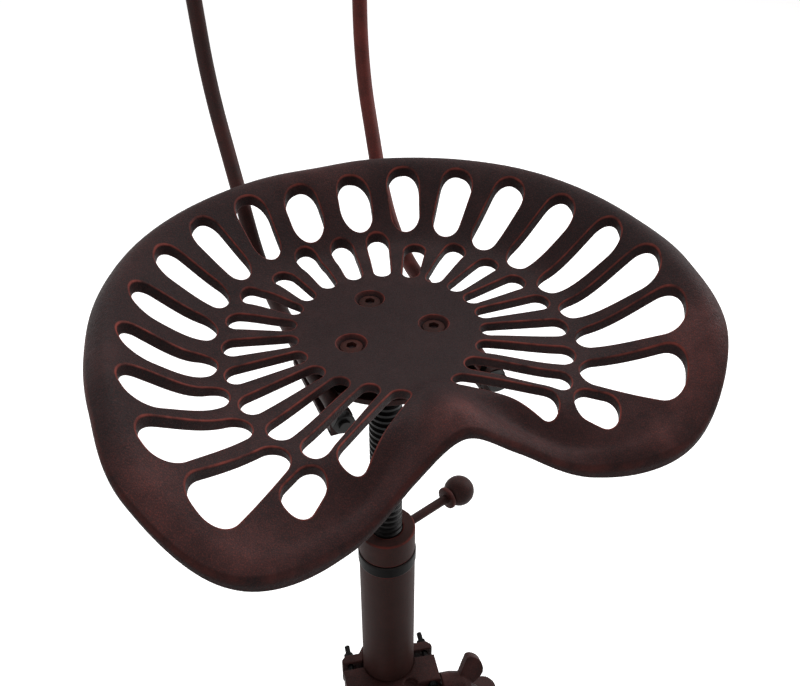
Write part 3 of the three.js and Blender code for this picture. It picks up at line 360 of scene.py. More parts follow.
class Net:
    """Short calls for the nodes of a tree. An input is a plain value or another node's output."""

    def __init__(self, tree):
        self.tree = tree

    def node(self, kind, settings=(), **inputs):
        node = self.tree.nodes.new(kind)
        for key, value in dict(settings).items():
            setattr(node, key, value)
        for label, value in inputs.items():
            self.feed(node.inputs[label.replace("_", " ")], value)
        return node

    def feed(self, socket, value):
        if isinstance(value, bpy.types.NodeSocket):
            self.tree.links.new(value, socket)
        else:
            socket.default_value = value

    def math(self, operation, *values):
        node = self.node("ShaderNodeMath", {"operation": operation})
        for socket, value in zip(node.inputs, values):
            self.feed(socket, value)
        return node.outputs[0]


class Finish(Net):
    """A node material that is built up from textures on the piece's own coordinates."""

    def __init__(self, name, specular):
        self.material = bpy.data.materials.new(name)
        self.material.use_nodes = True
        super().__init__(self.material.node_tree)
        self.shader = self.tree.nodes["Principled BSDF"].inputs
        self.shader["Metallic"].default_value = 0.0
        self.shader["Specular IOR Level"].default_value = specular
        self.coordinates = self.node("ShaderNodeTexCoord").outputs["Object"]

    def noise(self, scale, detail=3.0, roughness=0.5):
        values = {"Scale": scale, "Detail": detail, "Roughness": roughness}
        node = self.node("ShaderNodeTexNoise", Vector=self.coordinates, **values)
        return node.outputs["Fac"]

    def value_of(self, name):
        return self.node("ShaderNodeAttribute", {"attribute_name": name}).outputs["Fac"]

    def spread(self, value, low, high, to_low=0.0, to_high=1.0):
        limits = {"From_Min": low, "From_Max": high, "To_Min": to_low, "To_Max": to_high}
        return self.node("ShaderNodeMapRange", Value=value, **limits).outputs["Result"]

    def times(self, one, other):
        return self.math("MULTIPLY", one, other)

    def plus(self, one, other):
        """A sum that stays between 0 and 1."""
        total = self.math("ADD", one, other)
        total.node.use_clamp = True
        return total

    def blend(self, share, one, other):
        """From one colour to the other, each from 0 to 255 or a node's output."""
        node = self.node("ShaderNodeMix", {"data_type": "RGBA"})
        self.feed(node.inputs["Factor"], share)
        for socket, colour in ((node.inputs[6], one), (node.inputs[7], other)):
            self.feed(socket, linear(colour) if isinstance(colour, tuple) else colour)
        return node.outputs[2]

    def done(self, colour, rough, *layers):
        """Layers are (height, depth in millimetres), the coarsest first."""
        self.feed(self.shader["Base Color"], colour)
        self.feed(self.shader["Roughness"], rough)
        for height, depth in layers:
            bump = self.node("ShaderNodeBump", Distance=depth * MM, Strength=1.0, Height=height)
            if self.shader["Normal"].is_linked:
                self.feed(bump.inputs["Normal"], self.shader["Normal"].links[0].from_socket)
            self.feed(self.shader["Normal"], bump.outputs["Normal"])
        return self.material


def antique_copper(name, grain, depth, dark, warm, red, patch, specular):
    """Dark antique copper over a sandy casting or a smooth tube, red where it is rubbed, and warmer
    where its value of wear, painted sheen and painted shade is high.
    """
    finish = Finish(f"antique_copper_{name}", specular)
    sand = finish.noise(grain, 4.0, 0.6)
    speck = finish.noise(1300, 2.0, 0.7)
    mottle = finish.noise(70, 4.0, 0.6)
    cloud = finish.noise(15, 3.0, 0.55)
    patches = finish.times(finish.spread(cloud, 0.4, 0.72), finish.spread(mottle, 0.3, 0.7))
    # Warmer, redder and more speckled where the wear value is high, which also carries painted sheen and
    # painted shade.
    worn = finish.times(finish.value_of("worn"), finish.spread(mottle, 0.25, 0.75, 0.4, 1.0))
    share = finish.plus(finish.times(patches, patch), finish.times(worn, 0.6))
    strength = finish.plus(finish.times(worn, 0.4), 0.12)
    dots = finish.times(finish.spread(speck, 0.48, 0.66), strength)
    rubbed = finish.times(finish.value_of("rub"), finish.spread(mottle, 0.32, 0.64, 0.1, 1.0))
    colour = finish.blend(rubbed, finish.blend(dots, finish.blend(share, dark, warm), red), red)
    rough = finish.spread(sand, 0.3, 0.7, 0.44, 0.68)
    return finish.done(colour, rough, (mottle, depth * 1.6), (sand, depth))


cast_finish = antique_copper(
    "casting", grain=750, depth=0.4, patch=0.2, specular=0.08,
    dark=(31, 24, 25), warm=(98, 66, 65), red=(134, 64, 56),
)

SCREW_CENTRES = {"back": (0, 28.8), "left": (-30.6, -16.8), "right": (30.6, -16.8)}
# Spots of (x, y, width, strength): the lighter ones are painted sheen on the pommel, the rims, the lobes
# and the back, and those of negative strength are painted shade on the outer rims.
SHEEN_AND_SHADE_SPOTS = [
    (-1, -123, 15, 0.9),
    (6, -134, 12, 0.4),
    (176, -116, 18, 0.8),
    (160, -136, 17, 0.7),
    (-184, -117, 16, 0.7),
    (-184, -142, 14, 0.6),
    (-144, -157, 20, 0.5),
    (130, -155, 9, 0.6),
    (7, 131, 34, 0.3),
    (-190, -40, 45, -0.4),
    (190, -20, 50, -0.3),
]
RECESS_RADIUS, RECESS_DEPTH = 11.2, 5.0
RECESS_PROFILE = [
    (10.9, -0.08, 0.7),
    (10.6, -0.35, 0.8),
    (10.4, -0.7, 0.3),
    (9.2, -3.0, 0.0),
    (8.3, -4.6, 0.0),
    (7.9, -RECESS_DEPTH, 0.0),
]
PAD_RADIUS, PAD_DEPTH = 48.0, 14
PAD_PROFILE = [(45.6, -7.9), (44.4, -8.8), (44, -10.2), (43.5, -12), (42, -13.4), (39.5, -PAD_DEPTH)]


def level(loop, height):
    """Points of the plan at a height, which is one number or one for each point."""
    return np.column_stack([loop, np.full(len(loop), height)])


def seat_wear_and_painted_light(plan):
    """How far the finish is rubbed down on the lobes, with a painted highlight along the crest and
    painted sheen and painted shade in some spots.
    """
    radius, angle = round_the_pattern(plan)
    crest = round_the_seat(OUTLINE_SHARES, angle) - ROLL_WIDTH
    band = CREST_SHEEN * np.exp(-(((radius - crest - 2) / CREST_SHEEN_WIDTH) ** 2))
    lobe = ease(*LOBE_ANGLES, angle) * ease(*LOBE_REACH, radius / (crest + ROLL_WIDTH))
    worn = np.maximum(band, LOBE_WEAR * lobe)
    for x, y, width, strength in SHEEN_AND_SHADE_SPOTS:
        away = (plan[:, 0] - x) ** 2 + (plan[:, 1] - y) ** 2
        worn = np.clip(worn + strength * np.exp(-away / width**2), 0, 1)
    return worn


def seat_edge(sewn, loop, away, over, under, top_ring, bottom_ring, rub):
    """A rounded edge: over the top, down the wall and under the bottom."""
    last = top_ring
    for step, share in enumerate(EDGE_RUBS, 1):
        turn = math.pi / 2 * step / len(EDGE_RUBS)
        plan = loop + away * over * (1 - math.sin(turn))
        heights = seat_top(plan) - over * (1 - math.cos(turn))
        last = sewn.ring_after(last, level(plan, heights), rub * share)
    upper = seat_top(loop) - over
    lower = seat_underside(loop) + under
    for share in WALL_RINGS:
        last = sewn.ring_after(last, level(loop, upper + (lower - upper) * share))
    for turn in [math.pi / 2 * step / 3 for step in range(3)]:
        plan = loop + away * under * (1 - math.cos(turn))
        heights = seat_underside(plan) + under * (1 - math.sin(turn))
        last = sewn.ring_after(last, level(plan, heights), UNDER_RUB * rub)
    sewn.bridge(last, bottom_ring)


def seat_casting():
    angles = np.linspace(0, 2 * math.pi, OUTLINE_POINTS, endpoint=False)
    reach = round_the_seat(OUTLINE_SHARES, np.arccos(np.clip(np.sin(angles), -1, 1))) + OUTLINE_ALLOWANCE
    edges = [np.stack([reach * np.cos(angles), reach * np.sin(angles) - PATTERN_OFFSET], axis=1)]
    for row in INNER_SLOT_SHARES:
        edges += [slot_loop(row, side, INNER_CORNERS) for side in ((1, -1) if row[0] else (1,))]
    for row in OUTER_SLOT_SHARES:
        edges += [slot_loop(row, side, OUTER_CORNERS) for side in (1, -1)]
    aways = [-outward_of(edges[0]), *map(outward_of, edges[1:])]
    slots = len(edges) - 1
    overs = [RIM_OVER] + [SLOT_OVER] * slots
    unders = [RIM_UNDER] + [SLOT_UNDER] * slots
    rubs = [RIM_RUB] + [SLOT_RUB] * slots
    recesses = [circle_loop(centre, RECESS_RADIUS, RECESS_SIDES) for centre in SCREW_CENTRES.values()]
    pad = circle_loop((0, 0), PAD_RADIUS, PAD_SIDES)

    sewn = Sewn()
    loops = [loop + away * over for loop, away, over in zip(edges, aways, overs)] + recesses
    points, triangles = filled_plan(loops, TOP_SPACING)
    top_rings = sewn.patch(level(points, seat_top(points)), triangles, loops, worn=seat_wear_and_painted_light(points))
    loops = [loop + away * under for loop, away, under in zip(edges, aways, unders)] + [pad]
    points, triangles = filled_plan(loops, UNDERSIDE_SPACING)
    bottom_rings = sewn.patch(level(points, seat_underside(points)), triangles, loops)
    for edge in zip(edges, aways, overs, unders, top_rings, bottom_rings, rubs):
        seat_edge(sewn, *edge)

    for centre, last in zip(SCREW_CENTRES.values(), top_rings[len(edges) :]):
        for radius, height, rub in RECESS_PROFILE:
            last = sewn.ring_after(last, level(circle_loop(centre, radius, RECESS_SIDES), height), rub)
        sewn.fan(last, (*centre, -RECESS_DEPTH))
    last = bottom_rings[-1]
    for radius, height in PAD_PROFILE:
        last = sewn.ring_after(last, level(circle_loop((0, 0), radius, PAD_SIDES), height))
    sewn.fan(last, (0, 0, -PAD_DEPTH))
    points = np.array(sewn.points) + (0, 0, HUB_HEIGHT)
    return make_object("seat_casting_looks", points, sewn.faces, rub=sewn.rub, worn=sewn.worn)


seat = seat_casting()
soften(seat, 50)
fit(seat, cast_finish, "seat", "cast_copper", "seat_casting")

# Mounting plate. A round steel plate is bolted under the seat's pad, and the spindle's head
# is fixed in it. It is turned from bar, with a small chamfer, and finished like the seat.


def eased_profile(profile, radius):
    """A lathe profile of (radius, height) with its corners rounded. Each point also says how far
    the finish is rubbed there: the corners are, and the flats between them are not."""
    result = [(*profile[0], 0.0)]
    for before, here, after in zip(profile, profile[1:], profile[2:]):
        before, here, after = (np.array(p, float) for p in (before, here, after))
        back, on = before - here, after - here
        reach = min(radius, 0.45 * np.linalg.norm(back), 0.45 * np.linalg.norm(on))
        start = here + back / np.linalg.norm(back) * reach
        end = here + on / np.linalg.norm(on) * reach
        result.append((*(start + 0.1 * (start - here)), 0.0))
        for t in np.linspace(0, 1, 4):
            point = (1 - t) ** 2 * start + 2 * t * (1 - t) * here + t**2 * end
            result.append((*point, 0.8 if 0 < t < 1 else 0.2))
        result.append((*(end + 0.1 * (end - here)), 0.0))
    result.append((*profile[-1], 0.0))
    return result


def turned_mesh(profile, sides=72):
    """A turned shape about Z from (radius, height, rub), closed on the axis or on itself."""
    sewn = Sewn()
    closed = profile[0][0] > 0
    rings = [
        sewn.add(level(circle_loop((0, 0), radius, sides), height), rub)
        for radius, height, rub in (profile[:-1] if closed else profile[1:-1])
    ]
    for one, other in zip(rings, rings[1:]):
        sewn.bridge(one, other)
    if closed:
        sewn.bridge(rings[-1], rings[0])
    else:
        sewn.fan(rings[0], (0, 0, profile[0][1]))
        sewn.fan(rings[-1], (0, 0, profile[-1][1]))
    return sewn


def moved(points, place):
    """Points carried to their place by a matrix in millimetres."""
    return np.array(points) @ np.array(place.to_3x3()).T + np.array(place.translation)


def turned_piece(name, profile, corner, sides=72, place=Matrix.Identity(4), rubbed=1.0):
    """A turned piece with rounded corners, or with its rubbed edges given where corner is None."""
    sewn = turned_mesh(eased_profile(profile, corner) if corner else profile, sides)
    thing = make_object(name, moved(sewn.points, place), sewn.faces, rub=rubbed * np.array(sewn.rub))
    soften(thing)
    return thing


smooth_finish = antique_copper(
    "steel", grain=1500, depth=0.05, patch=0.5, specular=0.1,
    dark=(36, 24, 23), warm=(78, 46, 43), red=(140, 56, 48),
)
PLATE_TOP, PLATE_BOTTOM = -14.3, -22.3
at_hub = Matrix.Translation((0, 0, HUB_HEIGHT))
plate_profile = [(0, PLATE_BOTTOM), (47, PLATE_BOTTOM), (47, PLATE_TOP), (0, PLATE_TOP)]
plate = turned_piece("mount_plate_looks", plate_profile, 1.0, place=at_hub)
fit(plate, smooth_finish, "seat", "copper_steel", "mount_plate")

# Seat screws. Three button heads with hexagon sockets sit in dished recesses in the hub, finished
# with the seat, and hold it to the plate with black nuts below. Each kind is one set of instances.


class Tree(Net):
    """A Geometry Nodes tree with named inputs for its sizes."""

    def __init__(self, name, lengths=(), counts=()):
        super().__init__(bpy.data.node_groups.new(name, "GeometryNodeTree"))
        face = self.tree.interface
        inputs = [("Geometry", ["Geometry"]), ("Float", lengths), ("Int", counts)]
        inputs.append(("Material", ["Finish"]))
        for kind, labels in inputs:
            for label in labels:
                face.new_socket(label, in_out="INPUT", socket_type=f"NodeSocket{kind}")
        face.new_socket("Geometry", in_out="OUTPUT", socket_type="NodeSocketGeometry")
        self.inputs = self.node("NodeGroupInput").outputs

    def upright(self, geometry, height):
        """Moves a geometry along Z."""
        offset = self.node("ShaderNodeCombineXYZ", Z=height).outputs[0]
        return self.node("GeometryNodeTransform", Geometry=geometry, Translation=offset).outputs[0]

    def cylinder(self, vertices, radius, depth, bottom):
        solid = self.node("GeometryNodeMeshCylinder", Vertices=vertices, Radius=radius, Depth=depth)
        return self.upright(solid.outputs["Mesh"], self.math("MULTIPLY_ADD", depth, 0.5, bottom))

    def boolean(self, operation, one, other):
        node = self.node("GeometryNodeMeshBoolean", {"operation": operation, "solver": "EXACT"})
        if operation == "DIFFERENCE":
            self.feed(node.inputs["Mesh 1"], one)
        else:
            self.tree.links.new(one, node.inputs["Mesh 2"])
        self.tree.links.new(other, node.inputs["Mesh 2"])
        return node.outputs["Mesh"]

    def when(self, test, yes, no=None):
        """The geometry yes where the value test is above zero."""
        above = self.node("FunctionNodeCompare", {"operation": "GREATER_THAN"}, A=test, B=0.0).outputs[0]
        choice = {"Switch": above, "True": yes, **({"False": no} if no else {})}
        return self.node("GeometryNodeSwitch", {"input_type": "GEOMETRY"}, **choice).outputs[0]

    def joined(self, *parts):
        node = self.node("GeometryNodeJoinGeometry")
        for part in parts:
            self.tree.links.new(part, node.inputs[0])
        return node.outputs[0]

    def at_each_point(self, geometry):
        """Instances at the points of the input, with Z turned to each point's facing."""
        kind = {"data_type": "FLOAT_VECTOR"}
        facing = self.node("GeometryNodeInputNamedAttribute", kind, Name="facing")
        facing = facing.outputs["Attribute"]
        turn = self.node("FunctionNodeAlignRotationToVector", {"axis": "Z"}, Vector=facing).outputs[0]
        return self.instances(self.inputs["Geometry"], geometry, turn)

    def instances(self, points, geometry, turn):
        links = {"Points": points, "Instance": geometry, "Rotation": turn}
        return self.node("GeometryNodeInstanceOnPoints", **links).outputs[0]

    def finish(self, geometry):
        realized = self.node("GeometryNodeRealizeInstances", Geometry=geometry).outputs[0]
        dressed = self.node("GeometryNodeSetMaterial", Geometry=realized, Material=self.inputs["Finish"])
        self.feed(self.node("NodeGroupOutput").inputs[0], dressed.outputs[0])
        return self.tree


def baked(thing):
    """The mesh of a thing as its modifiers leave it."""
    bpy.context.view_layer.update()
    return bpy.data.meshes.new_from_object(thing.evaluated_get(bpy.context.evaluated_depsgraph_get()))


def grown(name, tree, seed, **values):
    """Runs a tree on an object, by its named inputs in millimetres, and returns the plain mesh."""
    modifier = seed.modifiers.new("grow", "NODES")
    modifier.node_group = tree
    for item in tree.interface.items_tree:
        key = item.name.replace(" ", "_").lower()
        if item.in_out == "INPUT" and key in values:
            value = values[key]
            modifier[item.identifier] = value * MM if item.socket_type == "NodeSocketFloat" else value
    mesh = baked(seed)
    bpy.data.objects.remove(seed)
    mesh.name = name
    return placed(name, mesh)


def places(name, points, facings):
    """Bare points with the direction that each one faces, in millimetres."""
    mesh = bpy.data.meshes.new(name)
    mesh.from_pydata([tuple(np.array(p) * MM) for p in points], [], [])
    facing = mesh.attributes.new("facing", "FLOAT_VECTOR", "POINT")
    facing.data.foreach_set("vector", np.array(facings, np.float32).ravel())
    return placed(name, mesh)


def bevelled(thing, width, segments=2, degrees=30):
    modifier = thing.modifiers.new("edges", "BEVEL")
    modifier.width = width * MM
    modifier.segments = segments
    modifier.limit_method = "ANGLE"
    modifier.angle_limit = math.radians(degrees)
    modifier.harden_normals = False


def fasteners(name, tree, body, finish, edge, nodes, spots, slot="black_steel", **sizes):
    """A set of like screws, bolts or nuts, grown at its spots of (point, facing) and fitted."""
    thing = grown(name, tree, places(f"{name}_places", *zip(*spots)), finish=finish, **sizes)
    bevelled(thing, edge)
    soften(thing)
    fit(thing, finish, body, slot, *nodes)


def hex_fasteners():
    """A hexagon from Z = 0 up to its height, with its top corners turned off at 30 degrees."""
    shank = ("Shank radius", "Shank start", "Shank end")
    tree = Tree("hex_fasteners", ("Across flats", "Height", "Bore radius", *shank))
    flats, height = tree.inputs["Across flats"], tree.inputs["Height"]
    corner = tree.math("DIVIDE", flats, math.sqrt(3))
    prism = tree.cylinder(6, corner, height, 0.0)
    top = tree.math("MULTIPLY", flats, 0.475)
    bottom = tree.math("ADD", top, tree.math("MULTIPLY", height, 1.7))
    radii = {"Radius_Top": top, "Radius_Bottom": bottom}
    cone = tree.node("GeometryNodeMeshCone", Vertices=48, Depth=height, **radii)
    body = tree.boolean("INTERSECT", prism, cone.outputs["Mesh"])
    bore_depth = tree.math("MULTIPLY", height, 3.0)
    bore = tree.cylinder(40, tree.inputs["Bore radius"], bore_depth, tree.math("MULTIPLY", height, -1.0))
    bored = tree.boolean("DIFFERENCE", body, bore)
    body = tree.when(tree.inputs["Bore radius"], bored, body)
    length = tree.math("SUBTRACT", tree.inputs["Shank end"], tree.inputs["Shank start"])
    shank = tree.cylinder(32, tree.inputs["Shank radius"], length, tree.inputs["Shank start"])
    body = tree.joined(body, tree.when(tree.inputs["Shank radius"], shank))
    return tree.finish(tree.at_each_point(body))


def button_screws():
    """A domed head that stands on Z = 0, with a hexagon socket, on a shank that goes down."""
    head = ("Head radius", "Head height", "Dome radius", "Socket flats", "Socket depth")
    tree = Tree("button_screws", (*head, "Shank radius", "Shank length"))
    height, dome = tree.inputs["Head height"], tree.inputs["Dome radius"]
    blank = tree.cylinder(64, tree.inputs["Head radius"], height, 0.0)
    ball = tree.node("GeometryNodeMeshUVSphere", Segments=64, Rings=48, Radius=dome)
    centre = tree.math("SUBTRACT", height, tree.math("MULTIPLY", dome, 0.985))
    ball = tree.upright(ball.outputs["Mesh"], centre)
    head = tree.boolean("INTERSECT", blank, ball)
    corner = tree.math("DIVIDE", tree.inputs["Socket flats"], math.sqrt(3))
    floor = tree.math("SUBTRACT", height, tree.inputs["Socket depth"])
    socket = tree.cylinder(6, corner, tree.math("MULTIPLY", height, 2.0), floor)
    head = tree.boolean("DIFFERENCE", head, socket)
    length = tree.inputs["Shank length"]
    sunk = tree.math("MULTIPLY", length, 0.92)
    shank = tree.cylinder(24, tree.inputs["Shank radius"], sunk, tree.math("MULTIPLY", length, -1.0))
    return tree.finish(tree.at_each_point(tree.joined(head, shank)))


hex_tree = hex_fasteners()
button_tree = button_screws()

UP, DOWN = (0, 0, 1), (0, 0, -1)
GAP = 0.3
screw_places = [f"seat_{{}}_{place}" for place in SCREW_CENTRES]
screw_finish = antique_copper(
    "screws", grain=1300, depth=0.04, patch=0.7, specular=0.06,
    dark=(40, 26, 24), warm=(90, 48, 41), red=(140, 62, 50),
)
fasteners(
    "seat_screws", button_tree, "seat", screw_finish, slot="copper_steel", edge=0.3,
    nodes=[place.format("screw") for place in screw_places],
    spots=[((x, y, HUB_HEIGHT - RECESS_DEPTH + 0.1), UP) for x, y in SCREW_CENTRES.values()],
    head_radius=7.7, head_height=2.8, dome_radius=24, socket_flats=6.8, socket_depth=2.9,
    shank_radius=4, shank_length=22.7,
)


def blackened_steel(name, grain, dark, grey, specular=0.04):
    """Oil blackened steel, a little greyer where it has been handled."""
    finish = Finish(f"blackened_{name}", specular)
    mottle = finish.noise(120, 4.0, 0.6)
    fine = finish.noise(grain, 3.0, 0.6)
    share = finish.plus(finish.spread(mottle, 0.5, 0.85, 0.0, 0.25), finish.value_of("rub"))
    rough = finish.spread(fine, 0.3, 0.7, 0.32, 0.5)
    return finish.done(finish.blend(share, dark, grey), rough, (mottle, 0.03), (fine, 0.02))


black_finish = blackened_steel("steel", 1400, dark=(8, 7, 7), grey=(46, 42, 41))
bolt_finish = blackened_steel("bolts", 1400, dark=(12, 11, 11), grey=(84, 79, 78), specular=0.25)
fasteners(
    "seat_nuts", hex_tree, "seat", black_finish, edge=0.2,
    nodes=[place.format("nut") for place in screw_places],
    spots=[((x, y, HUB_HEIGHT + PLATE_BOTTOM - GAP), DOWN) for x, y in SCREW_CENTRES.values()],
    across_flats=13, height=5, bore_radius=4.3,
)

# Screw spindle. A black bar with a shoulder, a plain neck and a rolled trapezoidal thread, which
# turns in the nut in the column's top to raise the seat 6 mm a turn. The thread is right-handed.

SHOULDER_TOP = PLATE_BOTTOM - GAP
SHOULDER_BOTTOM = SHOULDER_TOP - 6
THREAD_TOP = SHOULDER_BOTTOM - 41
PITCH, TURNS = 6, 43
THREAD_BOTTOM = THREAD_TOP - TURNS * PITCH
CORE_BOTTOM = THREAD_BOTTOM - PITCH
SPINDLE_FOOT = CORE_BOTTOM - 36
CORE_RADIUS, CREST_RADIUS = 10.8, 12.9


def wound_thread():
    """A ridge of trapezoidal section that is wound round Z, right-handed, from its start upwards."""
    lengths = ("Core radius", "Crest radius", "Pitch", "Root width", "Crest width", "Start")
    tree = Tree("wound_thread", lengths, counts=["Turns"])
    core, crest = tree.inputs["Core radius"], tree.inputs["Crest radius"]
    middle = tree.math("MULTIPLY", tree.math("ADD", core, crest), 0.5)
    turns = tree.inputs["Turns"]
    rise = tree.math("MULTIPLY", turns, tree.inputs["Pitch"])
    radii = {"Start_Radius": middle, "End_Radius": middle}
    helix = tree.node("GeometryNodeCurveSpiral", Resolution=48, Rotations=turns, Height=rise, **radii)
    upright = tree.node("GeometryNodeSetCurveNormal", {"mode": "Z_UP"}, Curve=helix.outputs[0])
    section = tree.node("GeometryNodeCurvePrimitiveQuadrilateral", {"mode": "TRAPEZOID"})
    tree.feed(section.inputs["Bottom Width"], tree.inputs["Root width"])
    tree.feed(section.inputs["Top Width"], tree.inputs["Crest width"])
    tree.feed(section.inputs["Height"], tree.math("SUBTRACT", crest, core))
    tree.feed(section.inputs["Offset"], 0.0)
    quarter = (0, 0, math.pi / 2)
    across = tree.node("GeometryNodeTransform", Geometry=section.outputs[0], Rotation=quarter).outputs[0]
    curves = {"Curve": upright.outputs[0], "Profile_Curve": across}
    ridge = tree.node("GeometryNodeCurveToMesh", Fill_Caps=True, **curves)
    return tree.finish(tree.upright(ridge.outputs[0], tree.inputs["Start"]))


spindle_profile = [
    (0, SPINDLE_FOOT),
    (9, SPINDLE_FOOT),
    (9, CORE_BOTTOM),
    (CORE_RADIUS, CORE_BOTTOM),
    (CORE_RADIUS, THREAD_TOP),
    (16, THREAD_TOP + PITCH),
    (16, SHOULDER_BOTTOM),
    (20, SHOULDER_BOTTOM),
    (20, SHOULDER_TOP),
    (12, SHOULDER_TOP),
    (12, PLATE_TOP - GAP),
    (0, PLATE_TOP - GAP),
]
spindle = turned_piece("spindle_bar", spindle_profile, 0.8, sides=64, place=at_hub)
fit(spindle, black_finish, "seat", "black_steel", "screw_spindle")
thread = grown(
    "spindle_thread",
    wound_thread(),
    places("thread_start", [(0, 0, 0)], [UP]),
    core_radius=CORE_RADIUS - 0.4,
    crest_radius=CREST_RADIUS,
    pitch=PITCH,
    root_width=4.4,
    crest_width=2.0,
    start=HUB_HEIGHT + THREAD_BOTTOM,
    turns=TURNS,
    finish=black_finish,
)
thread_finish = blackened_steel("thread", 900, dark=(12, 11, 11), grey=(56, 52, 51), specular=0.15)
soften(thread, 30)
fit(thread, thread_finish, "seat", "black_steel", "screw_spindle")

# Guide bush and its nut. A grey nylon bush slides in the column on the spindle's foot and is kept on
# by a nut. Both stay hidden in the tube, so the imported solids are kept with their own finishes.


def moulded(name, clouds, grain, dark, pale, rough, depth, specular):
    """Nylon or rubber as it comes from the mould, with a soft cloud in its colour."""
    finish = Finish(name, specular)
    fine = finish.noise(grain)
    colour = finish.blend(finish.noise(clouds), dark, pale)
    return finish.done(colour, finish.spread(fine, 0.3, 0.7, *rough), (fine, depth))


def dress(node, finish):
    """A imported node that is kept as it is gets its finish."""
    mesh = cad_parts[node].data
    mesh.materials.clear()
    mesh.materials.append(finish)


nylon_finish = moulded(
    "grey_nylon", clouds=60, grain=900, dark=(120, 120, 116), pale=(150, 150, 146),
    rough=(0.45, 0.65), depth=0.02, specular=0.4,
)
dress("glide_bush", nylon_finish)
dress("glide_bush_nut", black_finish)
dress("wing_screw_pad", nylon_finish)

# Back rods. Two round steel bars start at ears of the bracket under the seat, run back under it and
# are bent up behind the rim to flattened tops that carry the back rest. They are in satin copper.

BACK_HEIGHT = 310
ROD_RADIUS, FLAT_THICKNESS, FLAT_HALF_WIDTH = 6, 5, 11
EAR_X, EAR_Y, EAR_RADIUS = 55.5, 60, 8
BRACKET_THICKNESS = 5
BRACKET_TOP = SHOULDER_BOTTOM - GAP
BRACKET_BOTTOM = BRACKET_TOP - BRACKET_THICKNESS
ROD_NUT_FLATS, ROD_NUT_HEIGHT = 12, 6.5
ROD_AXIS = BRACKET_TOP + GAP + ROD_NUT_FLATS / math.sqrt(3)
ROD_END_Y = -EAR_Y + ROD_NUT_HEIGHT + 0.6
ROD_PLACE_SHARES = [
    (0.184, -0.05, -0.0725),
    (0.184, 0.1, -0.07),
    (0.185, 0.3, -0.06),
    (0.186, 0.42, -0.01),
    (0.189, 0.51, 0.085),
    (0.195, 0.582, 0.19),
    (0.201, 0.642, 0.29),
    (0.206, 0.676, 0.39),
    (0.21, 0.691, 0.5),
    (0.215, 0.698, 0.64),
    (0.217, 0.7, 0.8),
    (0.217, 0.7, 1),
]
BACK_BEND_RADIUS, BACK_THICKNESS, BACK_HALF_WIDTH, BACK_PLATE_HEIGHT, BACK_CROWN = 330, 4, 150, 96, 16
rod_top_x, rod_top_y = 0.217 * BACK_HEIGHT, 0.7 * BACK_HEIGHT
back_lean = math.asin(rod_top_x / BACK_BEND_RADIUS)
back_screw_top = BACK_HEIGHT - FLAT_HALF_WIDTH
back_screw_heights = (back_screw_top - 34, back_screw_top)
back_middle = back_screw_top - 17


def rod_path(places_on_it, steps):
    """A smooth path through its places with even spacing, as a bent bar has, and its directions."""
    knots = np.array(places_on_it, float)
    ends = [2 * knots[0] - knots[1], 2 * knots[-1] - knots[-2]]
    knots = np.vstack([ends[:1], knots, ends[1:]])
    fine = []
    for p0, p1, p2, p3 in zip(knots, knots[1:], knots[2:], knots[3:]):
        d0, d1, d2 = (np.linalg.norm(b - a) ** 0.5 for a, b in ((p0, p1), (p1, p2), (p2, p3)))
        t1 = ((p1 - p0) / d0 - (p2 - p0) / (d0 + d1) + (p2 - p1) / d1) * d1
        t2 = ((p2 - p1) / d1 - (p3 - p1) / (d1 + d2) + (p3 - p2) / d2) * d1
        for s in np.linspace(0, 1, 40, endpoint=False):
            c2, c3 = -3 * p1 + 3 * p2 - 2 * t1 - t2, 2 * p1 - 2 * p2 + t1 + t2
            fine.append(p1 + t1 * s + c2 * s * s + c3 * s**3)
    fine.append(knots[-2])
    fine = np.array(fine)
    along = np.concatenate([[0], np.cumsum(np.linalg.norm(np.diff(fine, axis=0), axis=1))])
    shares = np.asarray(steps) * along[-1]
    points = np.stack([np.interp(shares, along, fine[:, axis]) for axis in range(3)], axis=1)
    ahead, behind = (
        np.stack([np.interp(shares + step, along, fine[:, axis]) for axis in range(3)], axis=1)
        for step in (0.5, -0.5)
    )
    directions = ahead - behind
    return points, directions / np.linalg.norm(directions, axis=1)[:, None], along[-1]


def swept(points, directions, sides, section_at):
    """A closed bar along a path. section_at(step) gives its side vector, half width, half height
    and squareness, from 0 for round."""
    sewn = Sewn()
    rings = []
    for step, (centre, tangent) in enumerate(zip(points, directions)):
        side, half_width, half_height, squareness = section_at(step)
        side = np.array(side, float)
        side -= tangent * side.dot(tangent)
        side /= np.linalg.norm(side)
        rise = np.cross(side, tangent)
        power = 1 / (1 + squareness)
        ring = []
        for corner in range(sides):
            angle = 2 * math.pi * (corner + 0.5) / sides
            across = math.copysign(abs(math.cos(angle)) ** power, math.cos(angle))
            up = math.copysign(abs(math.sin(angle)) ** power, math.sin(angle))
            ring.append(centre + side * across * half_width + rise * up * half_height)
        rings.append(sewn.add(ring))
    for one, other in zip(rings, rings[1:]):
        sewn.bridge(one, other)
    sewn.fan(rings[0], points[0])
    sewn.fan(rings[-1], points[-1])
    return sewn


